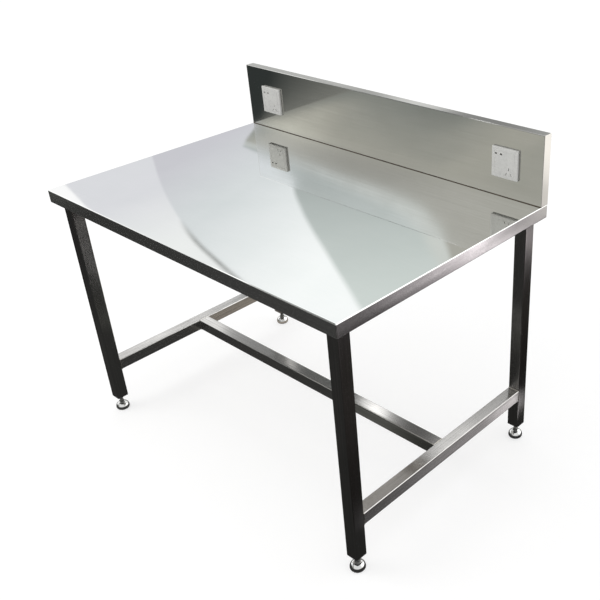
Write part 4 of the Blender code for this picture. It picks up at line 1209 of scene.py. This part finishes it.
def make_floor():
    """A plain pale floor; in the gloss of the steel it is dark, with pale patches behind and at the right."""
    shape = bmesh.new()
    bmesh.ops.create_grid(shape, x_segments=1, y_segments=1, size=FLOOR_HALF)
    floor = mesh_object("floor", shape)
    floor.location = (0, 0, FLOOR_LEVEL)
    material, tree, shader = new_material("floor")
    material.cycles.emission_sampling = "NONE"
    set_inputs(shader, {
        "Base Color": (FLOOR_GRAY, FLOOR_GRAY, FLOOR_GRAY, 1.0),
        "Roughness": 0.9,
        "Specular IOR Level": 0.0,
        "Emission Color": (1.0, 1.0, 1.0, 1.0),
        "Emission Strength": FLOOR_GLOW,
    })
    place = add(tree, "NewGeometry").outputs["Position"]
    parts = add(tree, "SeparateXYZ", {"Vector": place}).outputs
    glow = add(tree, "Emission", {"Color": floor_in_gloss(parts[0], parts[1]), "Strength": 1.0})
    path = add(tree, "LightPath")
    mix = add(tree, "MixShader", {0: path.outputs["Is Glossy Ray"], 1: shader.outputs[0], 2: glow.outputs[0]})
    set_inputs(tree.nodes["Material Output"], {"Surface": mix.outputs[0]})
    floor.data.materials.append(material)


def floor_in_gloss(across, depth):
    """The parts of the floor that the steel shows."""
    behind = times(spread(depth, 0.1, 0.22), spread(across, -0.1, -0.2))
    ahead = light_curve(across, [(-2.5, 47), (-1.4, 56), (-0.4, 63), (0.4, 52)])
    left = mixed(behind, tinted(ahead, (1.0, 1.0, 0.96)), tone(154, 147, 137))
    width = calculate("MAXIMUM", times_plus(depth, -1.04, -1.232), 0.05)
    fade = spread(calculate("DIVIDE", minus(-2.57, across), width), 0.0, 1.0)
    far_left = mixed(fade, tone(118, 119, 114, LEFT_FLOOR_GIVES), tone(46, 50, 49, LEFT_FLOOR_GIVES))
    beyond = times(spread(depth, -1.0, -1.15), spread(across, -2.54, -2.58))
    left = mixed(beyond, left, far_left)
    beneath = times(spread(depth, -0.32, -0.26), spread(depth, -0.03, -0.09))
    beneath = times(beneath, spread(across, -0.04, 0.04))
    beneath = times(beneath, spread(across, 0.42, 0.36))
    lifted = [(-0.04, 52), (0.06, 72), (0.16, 74), (0.26, 62), (0.36, 46)]
    lifted = light_curve(across, lifted, MIDDLE_FLOOR_GIVES)
    left = mixed(beneath, left, tinted(lifted, (1.0, 1.01, 0.92)))
    leaning = times_plus(minus(across, 0.706), -1.5, depth)
    middle = light_curve(leaning, [
        (-0.245, 40), (-0.215, 78), (-0.12, 92), (0.01, 110), (0.08, 126), (0.19, 142), (0.3, 152),
        (0.38, 178), (0.44, 212), (0.49, 215), (0.525, 215), (0.535, 50), (0.55, 50),
    ], MIDDLE_FLOOR_GIVES)
    middle = tinted(middle, (1.02, 0.98, 0.985))
    right = light_curve(depth, [
        (0.45, 66), (0.63, 72), (0.72, 100), (0.8, 138), (0.92, 148), (0.99, 180), (1.08, 204), (1.17, 222),
        (1.26, 250), (1.35, 288), (1.45, 262), (1.54, 213), (1.63, 172), (1.72, 145), (1.8, 190),
        (1.92, 205), (2.07, 208), (2.3, 236), (2.6, 252),
    ], RIGHT_FLOOR_GIVES)
    cream = spread(depth, 1.8, 1.95)
    pink = tinted(right, (1.03, 0.955, 0.975))
    right = mixed(cream, pink, tinted(right, (1.03, 0.99, 0.93)))
    color = faded(across, 0.678, 0.692, left, middle)
    beside = faded(across, 0.75, 1.1, tone(30, 28, 27), tone(58, 55, 53))
    color = faded(across, 0.728, 0.745, color, beside)
    return faded(across, 1.42, 1.47, color, right)


def make_lamp():
    data = bpy.data.lights.new("key", "AREA")
    data.shape = "RECTANGLE"
    data.size, data.size_y = KEY_SIZE, KEY_SIZE
    data.energy = KEY_POWER
    data.color = KEY_COLOR
    lamp = link_object("key", data)
    lamp.location = KEY_PLACE
    lamp.rotation_euler = (Vector(KEY_TARGET) - Vector(KEY_PLACE)).to_track_quat("-Z", "Y").to_euler()
    lamp.visible_glossy = False


def make_studio():
    make_camera()
    make_world()
    make_floor()
    make_lamp()
    bpy.context.scene.view_settings.view_transform = "Standard"


dress_cad_nodes()
make_worktop()
make_tubes()
make_welds()
make_upstand()
make_feet()
make_small_parts()
make_studio()
